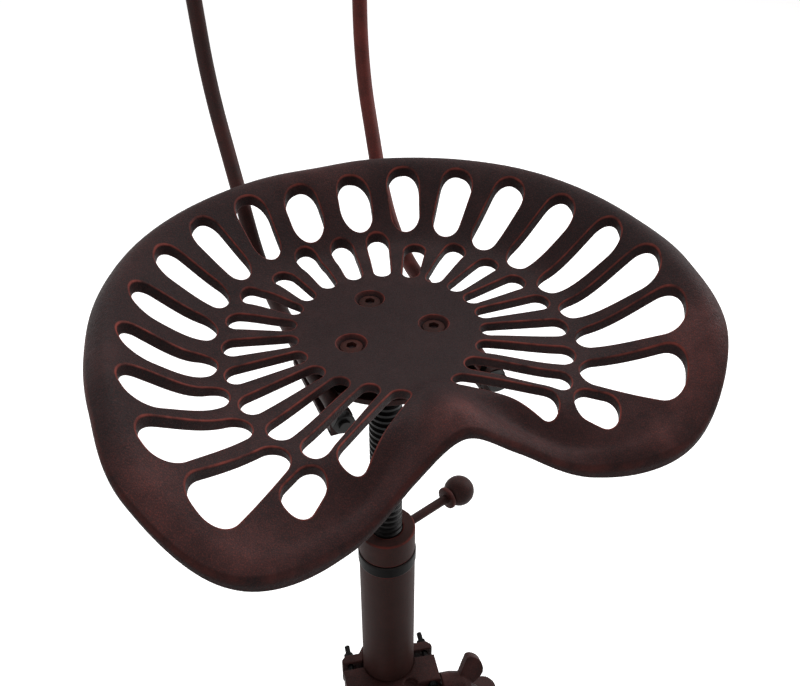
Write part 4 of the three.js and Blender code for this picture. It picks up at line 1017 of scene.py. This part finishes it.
rod_finish = antique_copper(
    "rods", grain=1200, depth=0.05, patch=0.3, specular=0.15,
    dark=(40, 27, 26), warm=(124, 58, 52), red=(150, 60, 52),
)
for name, side in (("left", -1), ("right", 1)):
    on_rod = [
        (side * EAR_X, ROD_END_Y, ROD_AXIS),
        (side * EAR_X, ROD_END_Y + 2 * ROD_RADIUS, ROD_AXIS),
        *[(side * BACK_HEIGHT * a, BACK_HEIGHT * b, BACK_HEIGHT * c) for a, b, c in ROD_PLACE_SHARES],
    ]
    _, _, rod_length = rod_path(on_rod, [0, 1])
    taper = FLAT_HALF_WIDTH / rod_length
    top = (BACK_HEIGHT - back_middle + BACK_PLATE_HEIGHT / 2 + FLAT_HALF_WIDTH) / rod_length
    rounding = 2.5 / rod_length
    shares = np.concatenate([
        np.linspace(0, rounding, 5),
        np.linspace(2 * rounding, 1 - top - taper, 120),
        np.linspace(1 - top - taper, 1 - top, 7)[1:],
        np.linspace(1 - top, 1 - rounding, 24)[1:],
        np.linspace(1 - rounding, 1, 5)[1:],
    ])
    path, headings, _ = rod_path(on_rod, shares)

    def rod_section(step):
        t = shares[step]
        roundness = 1 - ease(1 - top - taper, 1 - top, t)
        lean = -side * back_lean * ease(1 - 2 * top, 1 - top, t)
        tip = min(t, 1 - t) / rounding
        slim = math.sqrt(max(0.0, 1 - (1 - min(1, tip)) ** 2))
        half_width = FLAT_HALF_WIDTH + (ROD_RADIUS - FLAT_HALF_WIDTH) * roundness - 1.5 * (1 - slim)
        half_flat = FLAT_THICKNESS / 2
        half_height = half_flat + (ROD_RADIUS - half_flat) * roundness - 0.6 * (1 - slim)
        return (math.cos(lean), math.sin(lean), 0), half_width, half_height, 2 * (1 - roundness)

    sewn = swept(path, headings, 28, rod_section)
    rod_points = np.array(sewn.points) + (0, 0, HUB_HEIGHT)
    # The right rod's value is a painted reddish sheen, the left rod has none.
    rod_sheen = np.full(len(rod_points), 0.45 + 0.45 * side)
    back_rod = make_object(f"back_rod_{name}_looks", rod_points, sewn.faces, worn=rod_sheen)
    soften(back_rod, 40)
    fit(back_rod, rod_finish, "seat", "copper_steel", f"back_rod_{name}")

# Rod bolts and nuts. A black hexagon bolt goes through each ear of the bracket into the rod's end,
# with a nut behind the ear. They show through the slots at the front of the seat.

FORWARD, BACKWARD = (0, -1, 0), (0, 1, 0)
rod_axis = HUB_HEIGHT + ROD_AXIS
ear_front = -EAR_Y - BRACKET_THICKNESS
rod_sides = (("left", -EAR_X), ("right", EAR_X))
fasteners(
    "rod_bolts", hex_tree, "seat", bolt_finish, edge=0.35,
    nodes=[f"rod_bolt_{name}" for name, _ in rod_sides],
    spots=[((x, ear_front - GAP, rod_axis), FORWARD) for _, x in rod_sides],
    across_flats=14, height=5.5, shank_radius=4, shank_start=-29, shank_end=8.2,
)
fasteners(
    "rod_nuts", hex_tree, "seat", bolt_finish, edge=0.25,
    nodes=[f"rod_nut_{name}" for name, _ in rod_sides],
    spots=[((x, GAP - EAR_Y, rod_axis), BACKWARD) for _, x in rod_sides],
    across_flats=ROD_NUT_FLATS, height=ROD_NUT_HEIGHT, bore_radius=4.3,
)

# Back bracket and ring nut. A steel plate is held against the spindle's shoulder by a round nut on
# the neck. It has an arm under each rod, whose end is turned up into an ear. Its edges are eased.


def arc_points(centre, radius, start, end, steps):
    angles = np.linspace(start, end, steps)
    return [(centre[0] + radius * math.cos(a), centre[1] + radius * math.sin(a)) for a in angles]


def slab(name, outline, bottom, top, edge):
    """A flat plate from its outline, with its edges rounded by a modifier."""
    count = len(outline)
    points = [(x, y, bottom) for x, y in outline] + [(x, y, top) for x, y in outline]
    faces = [tuple(range(count)), tuple(range(2 * count - 1, count - 1, -1))]
    faces += [(n, (n + 1) % count, count + (n + 1) % count, count + n) for n in range(count)]
    thing = make_object(name, points, faces)
    bevelled(thing, edge, 3, 50)
    soften(thing)
    return thing


def merged(thing, *others):
    """Adds the meshes of other objects to a thing's own, and removes those objects."""
    whole = bmesh.new()
    for part in (thing, *others):
        whole.from_mesh(part.data)
    whole.to_mesh(thing.data)
    whole.free()
    for part in others:
        bpy.data.objects.remove(part)


def pipe(inner, outer, bottom, top):
    """The lathe profile of a ring or a tube."""
    return [(inner, bottom), (outer, bottom), (outer, top), (inner, top), (inner, bottom)]


outer, inner, disc, arm_back = EAR_X + EAR_RADIUS, EAR_X - EAR_RADIUS, 54, 18
back_turn, front_turn = math.asin(arm_back / disc), math.acos(inner / disc)
bracket_outline = [
    (outer, ear_front),
    (outer, arm_back),
    *arc_points((0, 0), disc, back_turn, math.pi - back_turn, 48),
    (-outer, arm_back),
    (-outer, ear_front),
    (-inner, ear_front),
    *arc_points((0, 0), disc, math.pi + front_turn, 2 * math.pi - front_turn, 48),
    (inner, ear_front),
]
bracket_low, bracket_high = HUB_HEIGHT + BRACKET_BOTTOM, HUB_HEIGHT + BRACKET_TOP
back_bracket = slab("back_bracket_looks", bracket_outline, bracket_low, bracket_high, 0.8)
for _, x in rod_sides:
    foot = [(x - EAR_RADIUS, bracket_low), (x + EAR_RADIUS, bracket_low)]
    ear_outline = foot + arc_points((x, rod_axis), EAR_RADIUS, 0, math.pi, 28)
    ear = slab("ear", ear_outline, EAR_Y, -ear_front, 0.6)
    ear.data.transform(Matrix.Rotation(math.pi / 2, 4, "X"))
    merged(back_bracket, ear)
fit(back_bracket, smooth_finish, "seat", "copper_steel", "back_bracket")
ring_nut_top = bracket_low - GAP
ring_nut = turned_piece("bracket_ring_nut_looks", pipe(16.3, 24, ring_nut_top - 10, ring_nut_top), 0.9)
fit(ring_nut, black_finish, "seat", "black_steel", "bracket_ring_nut")

# Back rest. A steel plate bent round the sitter's back, with an arched top and a row of nine long
# slots, is screwed to the front of the rods' flattened tops. It is finished like the seat.

BACK_SLOTS = 9
plate_front = BACK_BEND_RADIUS - BACK_THICKNESS
rod_front = rod_top_y - FLAT_THICKNESS / 2 / math.cos(back_lean) - GAP
bend_centre_y = rod_front - BACK_BEND_RADIUS * math.cos(back_lean)


def quadratic(start, curves, steps=24):
    """Points along a row of quadratic curves, each given by the corner that pulls it and its end."""
    at = np.array(start, float)
    points = []
    for pull, end in curves:
        pull, end = np.array(pull, float), np.array(end, float)
        for t in np.linspace(0, 1, steps, endpoint=False):
            points.append((1 - t) ** 2 * at + 2 * t * (1 - t) * pull + t**2 * end)
        at = end
    return np.array(points)


def back_plate():
    half, edge = BACK_PLATE_HEIGHT / 2, 1.2
    corner = half * 0.7
    straight = BACK_HALF_WIDTH - corner
    outline = quadratic((-straight, -half), [
        ((0, -half - BACK_CROWN / 2), (straight, -half)),
        ((BACK_HALF_WIDTH, -half), (BACK_HALF_WIDTH, -half + corner)),
        ((BACK_HALF_WIDTH, half), (straight, half)),
        ((0, half + 2 * BACK_CROWN), (-straight, half)),
        ((-BACK_HALF_WIDTH, half), (-BACK_HALF_WIDTH, -half + corner)),
        ((-BACK_HALF_WIDTH, -half), (-straight, -half)),
    ])
    edges = [evenly_spaced(outline, 2.0)]
    for number in range(BACK_SLOTS):
        x = (number - (BACK_SLOTS - 1) / 2) * 2 * BACK_HALF_WIDTH / (BACK_SLOTS + 1)
        lean = x / BACK_HALF_WIDTH
        radius = 9 * (1 - lean * lean / 3)
        reach = (half - 18) * (1 - lean * lean / 2)
        upper = arc_points((x, reach), radius, 0, math.pi, 24)
        lower = arc_points((x, -reach), radius * 0.7, math.pi, 2 * math.pi, 24)
        edges.append(evenly_spaced(np.array(upper + lower), 1.8))
    aways = [-outward_of(edges[0]), *map(outward_of, edges[1:])]
    loops = [loop + away * edge for loop, away in zip(edges, aways)]
    points, triangles = filled_plan(loops, 6.0)

    def bent(plan, depth):
        """Lays the flat plan on the bend, depth millimetres behind its front face."""
        x = plan[:, 0]
        back = np.sqrt((plate_front + depth) ** 2 - x**2)
        return np.column_stack([x, bend_centre_y + back, HUB_HEIGHT + back_middle + plan[:, 1]])

    sewn = Sewn()
    rub = np.zeros(len(points))
    rub[: sum(map(len, loops))] = 0.3
    front, behind = (
        sewn.patch(bent(points, depth), triangles, loops, rub) for depth in (0, BACK_THICKNESS)
    )
    turns = [math.pi / 2 * step / 3 for step in (1, 2, 3)]
    steps = [(turn, edge * (1 - math.cos(turn))) for turn in turns]
    steps += [(turn, BACK_THICKNESS - depth) for turn, depth in steps[::-1]]
    for loop, away, last, other in zip(edges, aways, front, behind):
        for turn, depth in steps:
            last = sewn.ring_after(last, bent(loop + away * edge * (1 - math.sin(turn)), depth), 1.0)
        sewn.bridge(last, other)
    return make_object("back_plate_looks", sewn.points, sewn.faces, rub=sewn.rub)


back = back_plate()
soften(back, 50)
fit(back, smooth_finish, "seat", "copper_steel", "back_plate")

# Back screws and nuts. Four black button screws go through the plate and the rods' flat tops, two on
# each rod, with hexagon nuts behind.

fronts, backs = [], []
for side in (-1, 1):
    across = np.array([math.sin(side * back_lean), math.cos(side * back_lean), 0])
    for height in back_screw_heights:
        middle = np.array([side * rod_top_x, rod_top_y, HUB_HEIGHT + height])
        fronts.append((middle - across * (FLAT_THICKNESS / 2 + 2 * GAP + BACK_THICKNESS), -across))
        backs.append((middle + across * (FLAT_THICKNESS / 2 + GAP), across))
back_places = [f"back_{{}}_{row}_{name}" for name in ("left", "right") for row in ("lower", "upper")]
fasteners(
    "back_screws", button_tree, "seat", black_finish, edge=0.25,
    nodes=[place.format("screw") for place in back_places],
    spots=fronts,
    head_radius=6.5, head_height=3.6, dome_radius=9.5, socket_flats=5, socket_depth=2,
    shank_radius=3, shank_length=14.9,
)
fasteners(
    "back_nuts", hex_tree, "seat", black_finish, edge=0.2,
    nodes=[place.format("nut") for place in back_places],
    spots=backs,
    across_flats=10, height=5, bore_radius=3.3,
)

# Column. A 48 mm steel tube stands in the base, finished in antique copper, with a black nut pressed
# into its top that the spindle turns in.

COLUMN_RADIUS, COLUMN_BOTTOM = 24, 56
COLUMN_TOP = HUB_HEIGHT - 250
column_finish = antique_copper(
    "column", grain=1300, depth=0.05, patch=0.5, specular=0.06,
    dark=(42, 29, 27), warm=(72, 44, 41), red=(130, 56, 48),
)
tube_profile = pipe(21, COLUMN_RADIUS, COLUMN_BOTTOM, COLUMN_TOP)
tube = turned_piece("column_tube_looks", tube_profile, 0.7, sides=96)
fit(tube, column_finish, "stand", "copper_steel", "column_tube")
NUT_BORE, NUT_HEIGHT = 13.3, 36
nut_profile = pipe(NUT_BORE, 20.7, COLUMN_TOP - NUT_HEIGHT, COLUMN_TOP)
column_nut = turned_piece("column_nut_looks", nut_profile, 0.6)
fit(column_nut, black_finish, "stand", "black_steel", "column_nut")

# Lock. A black friction ring lies on the column's top. Above it is a round collar nut that a bar
# with a ball turns down on the ring, to hold the seat's height. Collar, bar and ball are copper.

RING_BOTTOM = COLUMN_TOP + GAP
RING_TOP = RING_BOTTOM + 12.4
COLLAR_BOTTOM = RING_TOP + GAP
COLLAR_TOP = COLLAR_BOTTOM + 25
ring_profile = pipe(NUT_BORE, 24.8, RING_BOTTOM, RING_TOP)
friction_ring = turned_piece("lock_ring_looks", ring_profile, 1.2, sides=96)
fit(friction_ring, black_finish, "friction_ring", "black_steel", "lock_ring")
collar_profile = pipe(NUT_BORE, COLUMN_RADIUS, COLLAR_BOTTOM, COLLAR_TOP)
collar = turned_piece("lock_nut_looks", collar_profile, 1.6, sides=96, rubbed=0.6)
fit(collar, column_finish, "lock_collar", "copper_steel", "lock_nut")

LEVER_TURN = math.radians(17.7)
KNOB_REACH, KNOB_RADIUS = 83, 13.5
lever_place = (
    Matrix.Translation((0, 0, (COLLAR_BOTTOM + COLLAR_TOP) / 2))
    @ Matrix.Rotation(LEVER_TURN, 4, "Z")
    @ Matrix.Rotation(math.pi / 2, 4, "Y")
)
lever_profile = [(0, 18.3), (4, 18.3), (4, 74.7), (0, 74.7)]
lever_rod = turned_piece("lock_lever_rod_looks", lever_profile, 0.5, 32, lever_place)
fit(lever_rod, smooth_finish, "lock_collar", "copper_steel", "lock_lever_rod")
neck_start, neck_radius = KNOB_REACH - 16, 6.6
flange = [
    (8.8, 0, 0.4), (9.7, 0.4, 0.8), (10, 1.2, 0.8), (10, 2.8, 0.8),
    (9.6, 3.7, 0.8), (8.4, 4.1, 0.4), (6.9, 4.4, 0),
]
knob_profile = [(0, neck_start, 0)]
knob_profile += [(radius, neck_start + along, rub) for radius, along, rub in flange]
for angle in np.linspace(math.asin(neck_radius / KNOB_RADIUS), math.pi, 30)[:-1]:
    knob_profile.append((KNOB_RADIUS * math.sin(angle), KNOB_REACH - KNOB_RADIUS * math.cos(angle), 0))
knob_profile.append((0, KNOB_REACH + KNOB_RADIUS, 0))
knob = turned_piece("lock_lever_knob_looks", knob_profile, None, 56, lever_place, 0.25)
fit(knob, smooth_finish, "lock_collar", "copper_steel", "lock_lever_knob")

# Footrest clamp. Two rough iron castings close round the column and are drawn together by two long
# bolts. The front one has the socket of the footrest's arm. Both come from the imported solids,
# remeshed so that their corners are as round as a sand casting's.

LOWER_TURN = math.radians(-10)
lower_place = Matrix.Rotation(LOWER_TURN, 4, "Z")
clamp_finish = antique_copper(
    "clamp", grain=700, depth=0.35, patch=0.4, specular=0.08,
    dark=(34, 22, 21), warm=(90, 54, 51), red=(140, 56, 48),
)


def cast_round(thing, voxel, rounds):
    """Melts a sharp closed mesh into one rounded casting, in voxels of so many millimetres."""
    remesh = thing.modifiers.new("cast", "REMESH")
    remesh.mode = "VOXEL"
    remesh.voxel_size = voxel * MM
    smooth = thing.modifiers.new("round", "SMOOTH")
    smooth.factor = 0.5
    smooth.iterations = rounds
    thing.data = baked(thing)
    thing.modifiers.clear()
    thing.data.shade_smooth()


def copy_of(node):
    """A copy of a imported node, with its loose triangles merged."""
    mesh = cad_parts[node].data.copy()
    shape = bmesh.new()
    shape.from_mesh(mesh)
    bmesh.ops.remove_doubles(shape, verts=shape.verts, dist=0.00001)
    shape.to_mesh(mesh)
    shape.free()
    return placed(f"{node}_looks", mesh)


def bored(thing, bottom, top):
    """Cuts a clean round bore on the column's axis through a rough casting."""
    radius = COLUMN_RADIUS + GAP
    profile = [(0, bottom, 0), (radius, bottom, 0), (radius, top, 0), (0, top, 0)]
    drill = turned_mesh(profile, 96)
    cutter = make_object("bore_cutter", drill.points, drill.faces)
    boolean = thing.modifiers.new("bore", "BOOLEAN")
    boolean.operation = "DIFFERENCE"
    boolean.solver = "EXACT"
    boolean.object = cutter
    thing.data = baked(thing)
    thing.modifiers.clear()
    bpy.data.objects.remove(cutter)
    thing.data.set_sharp_from_angle(angle=math.radians(60))


for node in ("clamp_rear", "clamp_front"):
    half = copy_of(node)
    cast_round(half, 0.9, 4)
    bored(half, 300, 400)
    fit(half, clamp_finish, "stand", "cast_copper", node)


def on_lower(x, y, z):
    return tuple(lower_place @ Vector((x, y, z)))


CLAMP_BOLT_X, CLAMP_BOLT_HEIGHT = 36, 366.5
CLAMP_FRONT, CLAMP_BACK, STUD_LENGTH = -31.3, 12.5, 13
clamp_bolt_sides = (-CLAMP_BOLT_X, CLAMP_BOLT_X)
nut_side = CLAMP_BACK + GAP
fasteners(
    "clamp_bolts", hex_tree, "stand", black_finish, edge=0.2,
    nodes=["clamp_bolt_left", "clamp_bolt_right"],
    spots=[(on_lower(x, CLAMP_FRONT, CLAMP_BOLT_HEIGHT), on_lower(*FORWARD)) for x in clamp_bolt_sides],
    across_flats=8, height=4,
    shank_radius=2.5, shank_start=CLAMP_FRONT - CLAMP_BACK - STUD_LENGTH, shank_end=1,
)
fasteners(
    "clamp_nuts", hex_tree, "stand", black_finish, edge=0.2,
    nodes=["clamp_nut_left", "clamp_nut_right"],
    spots=[(on_lower(x, nut_side, CLAMP_BOLT_HEIGHT), on_lower(*BACKWARD)) for x in clamp_bolt_sides],
    across_flats=8, height=4, bore_radius=2.8,
)

# Wing screw. A cast iron thumb screw with two blades holds the footrest's arm in its socket. It is
# rough cast and finished like the clamp.

hub_start, hub_length, wing_reach, flare = 45, 28, 31, 27
root_start, root_end = hub_start + 0.43 * hub_length, hub_start + 0.875 * hub_length
tip_end = root_end + 0.6 * flare
outer_edge = [
    ((root_start + 0.55 * flare, wing_reach), (root_start + 0.7 * flare, 0.97 * wing_reach)),
    ((tip_end, 0.85 * wing_reach), (tip_end, wing_reach / 2)),
    ((tip_end, wing_reach / 4), (root_end, 0)),
]
blade_outline = [
    (root_start, 0),
    (root_start + flare / 4, wing_reach / 2),
    *quadratic((root_start + flare / 2, 0.93 * wing_reach), outer_edge, 8),
    (root_end, 0),
]
FOOTREST_HEIGHT = 356
wing_place = lower_place @ Matrix.Translation((0, -32 * MM, FOOTREST_HEIGHT * MM))
wing_profile = [(0, 15.6), (3.4, 15.6), (3.4, 45), (15, 45), (15, 54.3), (12.8, 66), (7.5, 73), (0, 73)]
wing_screw = turned_piece("wing_screw_looks", wing_profile, 0.8)
wing_screw.data.transform(wing_place @ Matrix.Rotation(math.pi / 2, 4, "Y"))
for side in (-1, 1):
    blade = slab("blade", blade_outline, -5, 5, 0.6)
    turn = side * math.pi / 2 - math.radians(25)
    blade.data.transform(wing_place @ Matrix.Rotation(turn, 4, "X"))
    merged(wing_screw, blade)
cast_round(wing_screw, 0.55, 4)
fit(wing_screw, clamp_finish, "wing", "cast_copper", "wing_screw")

# Footrest. A flat steel arm slides in the clamp's socket, and a round bar bent about the column is
# welded across its end, with a ball on each tip. It is finished in antique copper.

FOOTREST_REACH, BAR_RADIUS, BALL_RADIUS = 216.5, 10, 13
angles = np.radians(np.linspace(-126, -54, 61))
bar_path = level(FOOTREST_REACH * np.column_stack([np.cos(angles), np.sin(angles)]), FOOTREST_HEIGHT)
bar_headings = np.column_stack([-np.sin(angles), np.cos(angles), np.zeros(61)])
rest = swept(bar_path, bar_headings, 32, lambda step: (UP, BAR_RADIUS, BAR_RADIUS, 0))
for end in (bar_path[0], bar_path[-1]):
    rings = []
    for turn in np.linspace(0, math.pi, 18)[1:-1]:
        loop = circle_loop(end[:2], BALL_RADIUS * math.sin(turn), 32)
        rings.append(rest.add(level(loop, end[2] - BALL_RADIUS * math.cos(turn))))
    for one, other in zip(rings, rings[1:]):
        rest.bridge(one, other)
    rest.fan(rings[0], end - (0, 0, BALL_RADIUS))
    rest.fan(rings[-1], end + (0, 0, BALL_RADIUS))
arm = [(-12, -FOOTREST_REACH), (12, -FOOTREST_REACH), (12, -28.3), (-12, -28.3)]
corners = [rest.add([(x, y, FOOTREST_HEIGHT + side * 6) for x, y in arm]) for side in (-1, 1)]
rest.bridge(*corners)
rest.faces += [tuple(corners[0]), tuple(corners[1][::-1])]
footrest = make_object("footrest_looks", moved(rest.points, lower_place), rest.faces)
cast_round(footrest, 1.2, 3)
fit(footrest, rod_finish, "foot_bar", "copper_steel", "footrest")

# Base casting. Four arched legs run out of a round socket to flat pads, cast in one piece of iron.
# One leg is made, the rest are set round the column, and the whole is melted into one casting.

BASE_REACH = 225


def round_the_column():
    """Copies of the input's own mesh, set evenly round Z from the first angle on."""
    tree = Tree("round_the_column", ["First angle"], ["Count"])
    step = tree.math("DIVIDE", 2 * math.pi, tree.inputs["Count"])
    spots = tree.node("GeometryNodePoints", Count=tree.inputs["Count"])
    number = tree.node("GeometryNodeInputIndex").outputs[0]
    turn = tree.math("ADD", tree.math("MULTIPLY", number, step), tree.inputs["First angle"])
    upright = tree.node("FunctionNodeAxisAngleToRotation", Axis=(0, 0, 1), Angle=turn)
    return tree.finish(tree.instances(spots.outputs[0], tree.inputs["Geometry"], upright.outputs[0]))


column_tree = round_the_column()
leg_path, leg_headings, _ = rod_path(
    [
        (29.5, 0, 92),
        (0.35 * BASE_REACH, 0, 88),
        (0.65 * BASE_REACH, 0, 57),
        (0.85 * BASE_REACH, 0, 30.5),
        (BASE_REACH, 0, 26),
    ],
    np.linspace(0, 1, 60),
)


def leg_section(step):
    t = step / 59
    return (0, 1, 0), 13 - 4 * t, 24 - 15 * ease(0, 1, t), 0.4


leg = swept(leg_path, leg_headings, 40, leg_section)
pad_mesh = turned_mesh(eased_profile([(0, 15.3), (18, 15.3), (18, 35), (0, 35)], 2), 48)
first = len(leg.points)
leg.add(np.array(pad_mesh.points) + (BASE_REACH, 0, 0))
leg.faces += [tuple(first + n for n in face) for face in pad_mesh.faces]
one_leg = make_object("one_leg", leg.points, leg.faces)
base_finish = antique_copper(
    "base", grain=800, depth=0.3, patch=0.5, specular=0.12,
    dark=(40, 27, 25), warm=(88, 54, 52), red=(150, 58, 50),
)
quarter = math.pi / 4 + LOWER_TURN
ring_sizes = {"count": 4, "first_angle": quarter / MM}
base = grown("base_legs", column_tree, one_leg, **ring_sizes, finish=base_finish)
socket_profile = [(0, 44), (35, 44), (35, 122.5), (33, 127), (29.5, 128), (0, 128)]
socket_mesh = turned_mesh(eased_profile(socket_profile, 1.5), 96)
merged(base, make_object("base_socket", socket_mesh.points, socket_mesh.faces))
cast_round(base, 1.9, 6)
bored(base, COLUMN_BOTTOM - GAP, 200)
fit(base, base_finish, "stand", "cast_copper", "base_casting")

# Feet. A moulded rubber foot with a stud is pressed into each leg's pad. One is made and the rest
# are set round the column with the legs' own tree.

rubber_finish = moulded(
    "black_rubber", clouds=80, grain=1100, dark=(20, 20, 20), pale=(38, 38, 38),
    rough=(0.7, 0.9), depth=0.05, specular=0.3,
)
foot_profile = [(0, 0), (18.9, 0), (21, 3), (18, 15), (4, 15), (4, 27), (0, 27)]
foot_mesh = turned_mesh(eased_profile(foot_profile, 1.0), 56)
one_foot = make_object("one_foot", np.array(foot_mesh.points) + (BASE_REACH, 0, 0), foot_mesh.faces)
feet = grown("rubber_feet", column_tree, one_foot, **ring_sizes, finish=rubber_finish)
soften(feet)
foot_places = ("back_right", "back_left", "front_left", "front_right")
fit(feet, rubber_finish, "stand", "black_rubber", *[f"foot_{place}" for place in foot_places])

# Floor, light and camera. The photograph is a studio shot on pure white, taken from above the
# seat's front left. The floor and the world show white to the camera and in reflections only.


def white_where_seen(net, lit, white, ending):
    """Shows white instead of what is lit, to the camera, in reflections and through glass."""
    path = net.node("ShaderNodeLightPath").outputs
    shiny = net.math("MAXIMUM", path["Is Glossy Ray"], path["Is Transmission Ray"])
    mix = net.node("ShaderNodeMixShader")
    seen = net.math("MAXIMUM", path["Is Camera Ray"], shiny)
    for socket, value in zip(mix.inputs, (seen, lit, white)):
        net.feed(socket, value)
    net.feed(net.tree.nodes[ending].inputs["Surface"], mix.outputs[0])


floor_mesh = bpy.data.meshes.new("floor")
floor_mesh.from_pydata([(-6, -6, 0), (6, -6, 0), (6, 6, 0), (-6, 6, 0)], [], [(0, 1, 2, 3)])
floor = placed("floor", floor_mesh)
floor_material = bpy.data.materials.new("white_floor")
floor_material.use_nodes = True
net = Net(floor_material.node_tree)
paper = net.tree.nodes["Principled BSDF"]
paper.inputs["Base Color"].default_value = (0.8, 0.8, 0.8, 1)
paper.inputs["Roughness"].default_value = 0.9
glow = net.node("ShaderNodeEmission", Strength=0.7)
both = net.node("ShaderNodeAddShader")
for socket, value in zip(both.inputs, (paper, glow)):
    net.feed(socket, value.outputs[0])
white_where_seen(net, paper.outputs[0], both.outputs[0], "Material Output")
floor_mesh.materials.append(floor_material)

world = bpy.data.worlds.new("studio")
bpy.context.scene.world = world
world.use_nodes = True
net = Net(world.node_tree)
air = net.tree.nodes["Background"]
air.inputs["Color"].default_value = (1.0, 0.97, 0.95, 1)
air.inputs["Strength"].default_value = 0.24
white = net.node("ShaderNodeBackground", Color=(1, 1, 1, 1), Strength=1.0)
white_where_seen(net, air.outputs[0], white.outputs[0], "World Output")


def soft_box(name, place, aim, size, power):
    light = bpy.data.lights.new(name, "AREA")
    light.shape = "RECTANGLE"
    light.size, light.size_y = size
    light.energy = power
    lamp = placed(name, light)
    lamp.location = place
    lamp.rotation_euler = (Vector(aim) - Vector(place)).to_track_quat("-Z", "Y").to_euler()


soft_box("overhead", (0.3, 1.1, 2.9), (0, 0, 0.75), (1.8, 1.4), 44)
soft_box("right_side", (2.2, 0.2, 1.7), (0, 0, 0.75), (1.0, 1.4), 33)
soft_box("left_front", (-2.0, -1.6, 1.6), (0, 0, 0.7), (1.2, 1.4), 10)

FOCAL_PIXELS, PICTURE_WIDTH = 933.78, 800
camera_data = bpy.data.cameras.new("camera")
camera_data.sensor_width = 36
camera_data.lens = FOCAL_PIXELS / PICTURE_WIDTH * camera_data.sensor_width
right, above = Vector((0.92523, -0.37941, 0)), Vector((0.22702, 0.55357, 0.80128))
turn = Matrix((right, above, right.cross(above))).transposed()
camera = placed("camera", camera_data)
camera.matrix_world = Matrix.Translation((-0.1929, -0.4996, 1.1493)) @ turn.to_4x4()
bpy.context.scene.camera = camera
bpy.context.scene.view_settings.view_transform = "Standard"
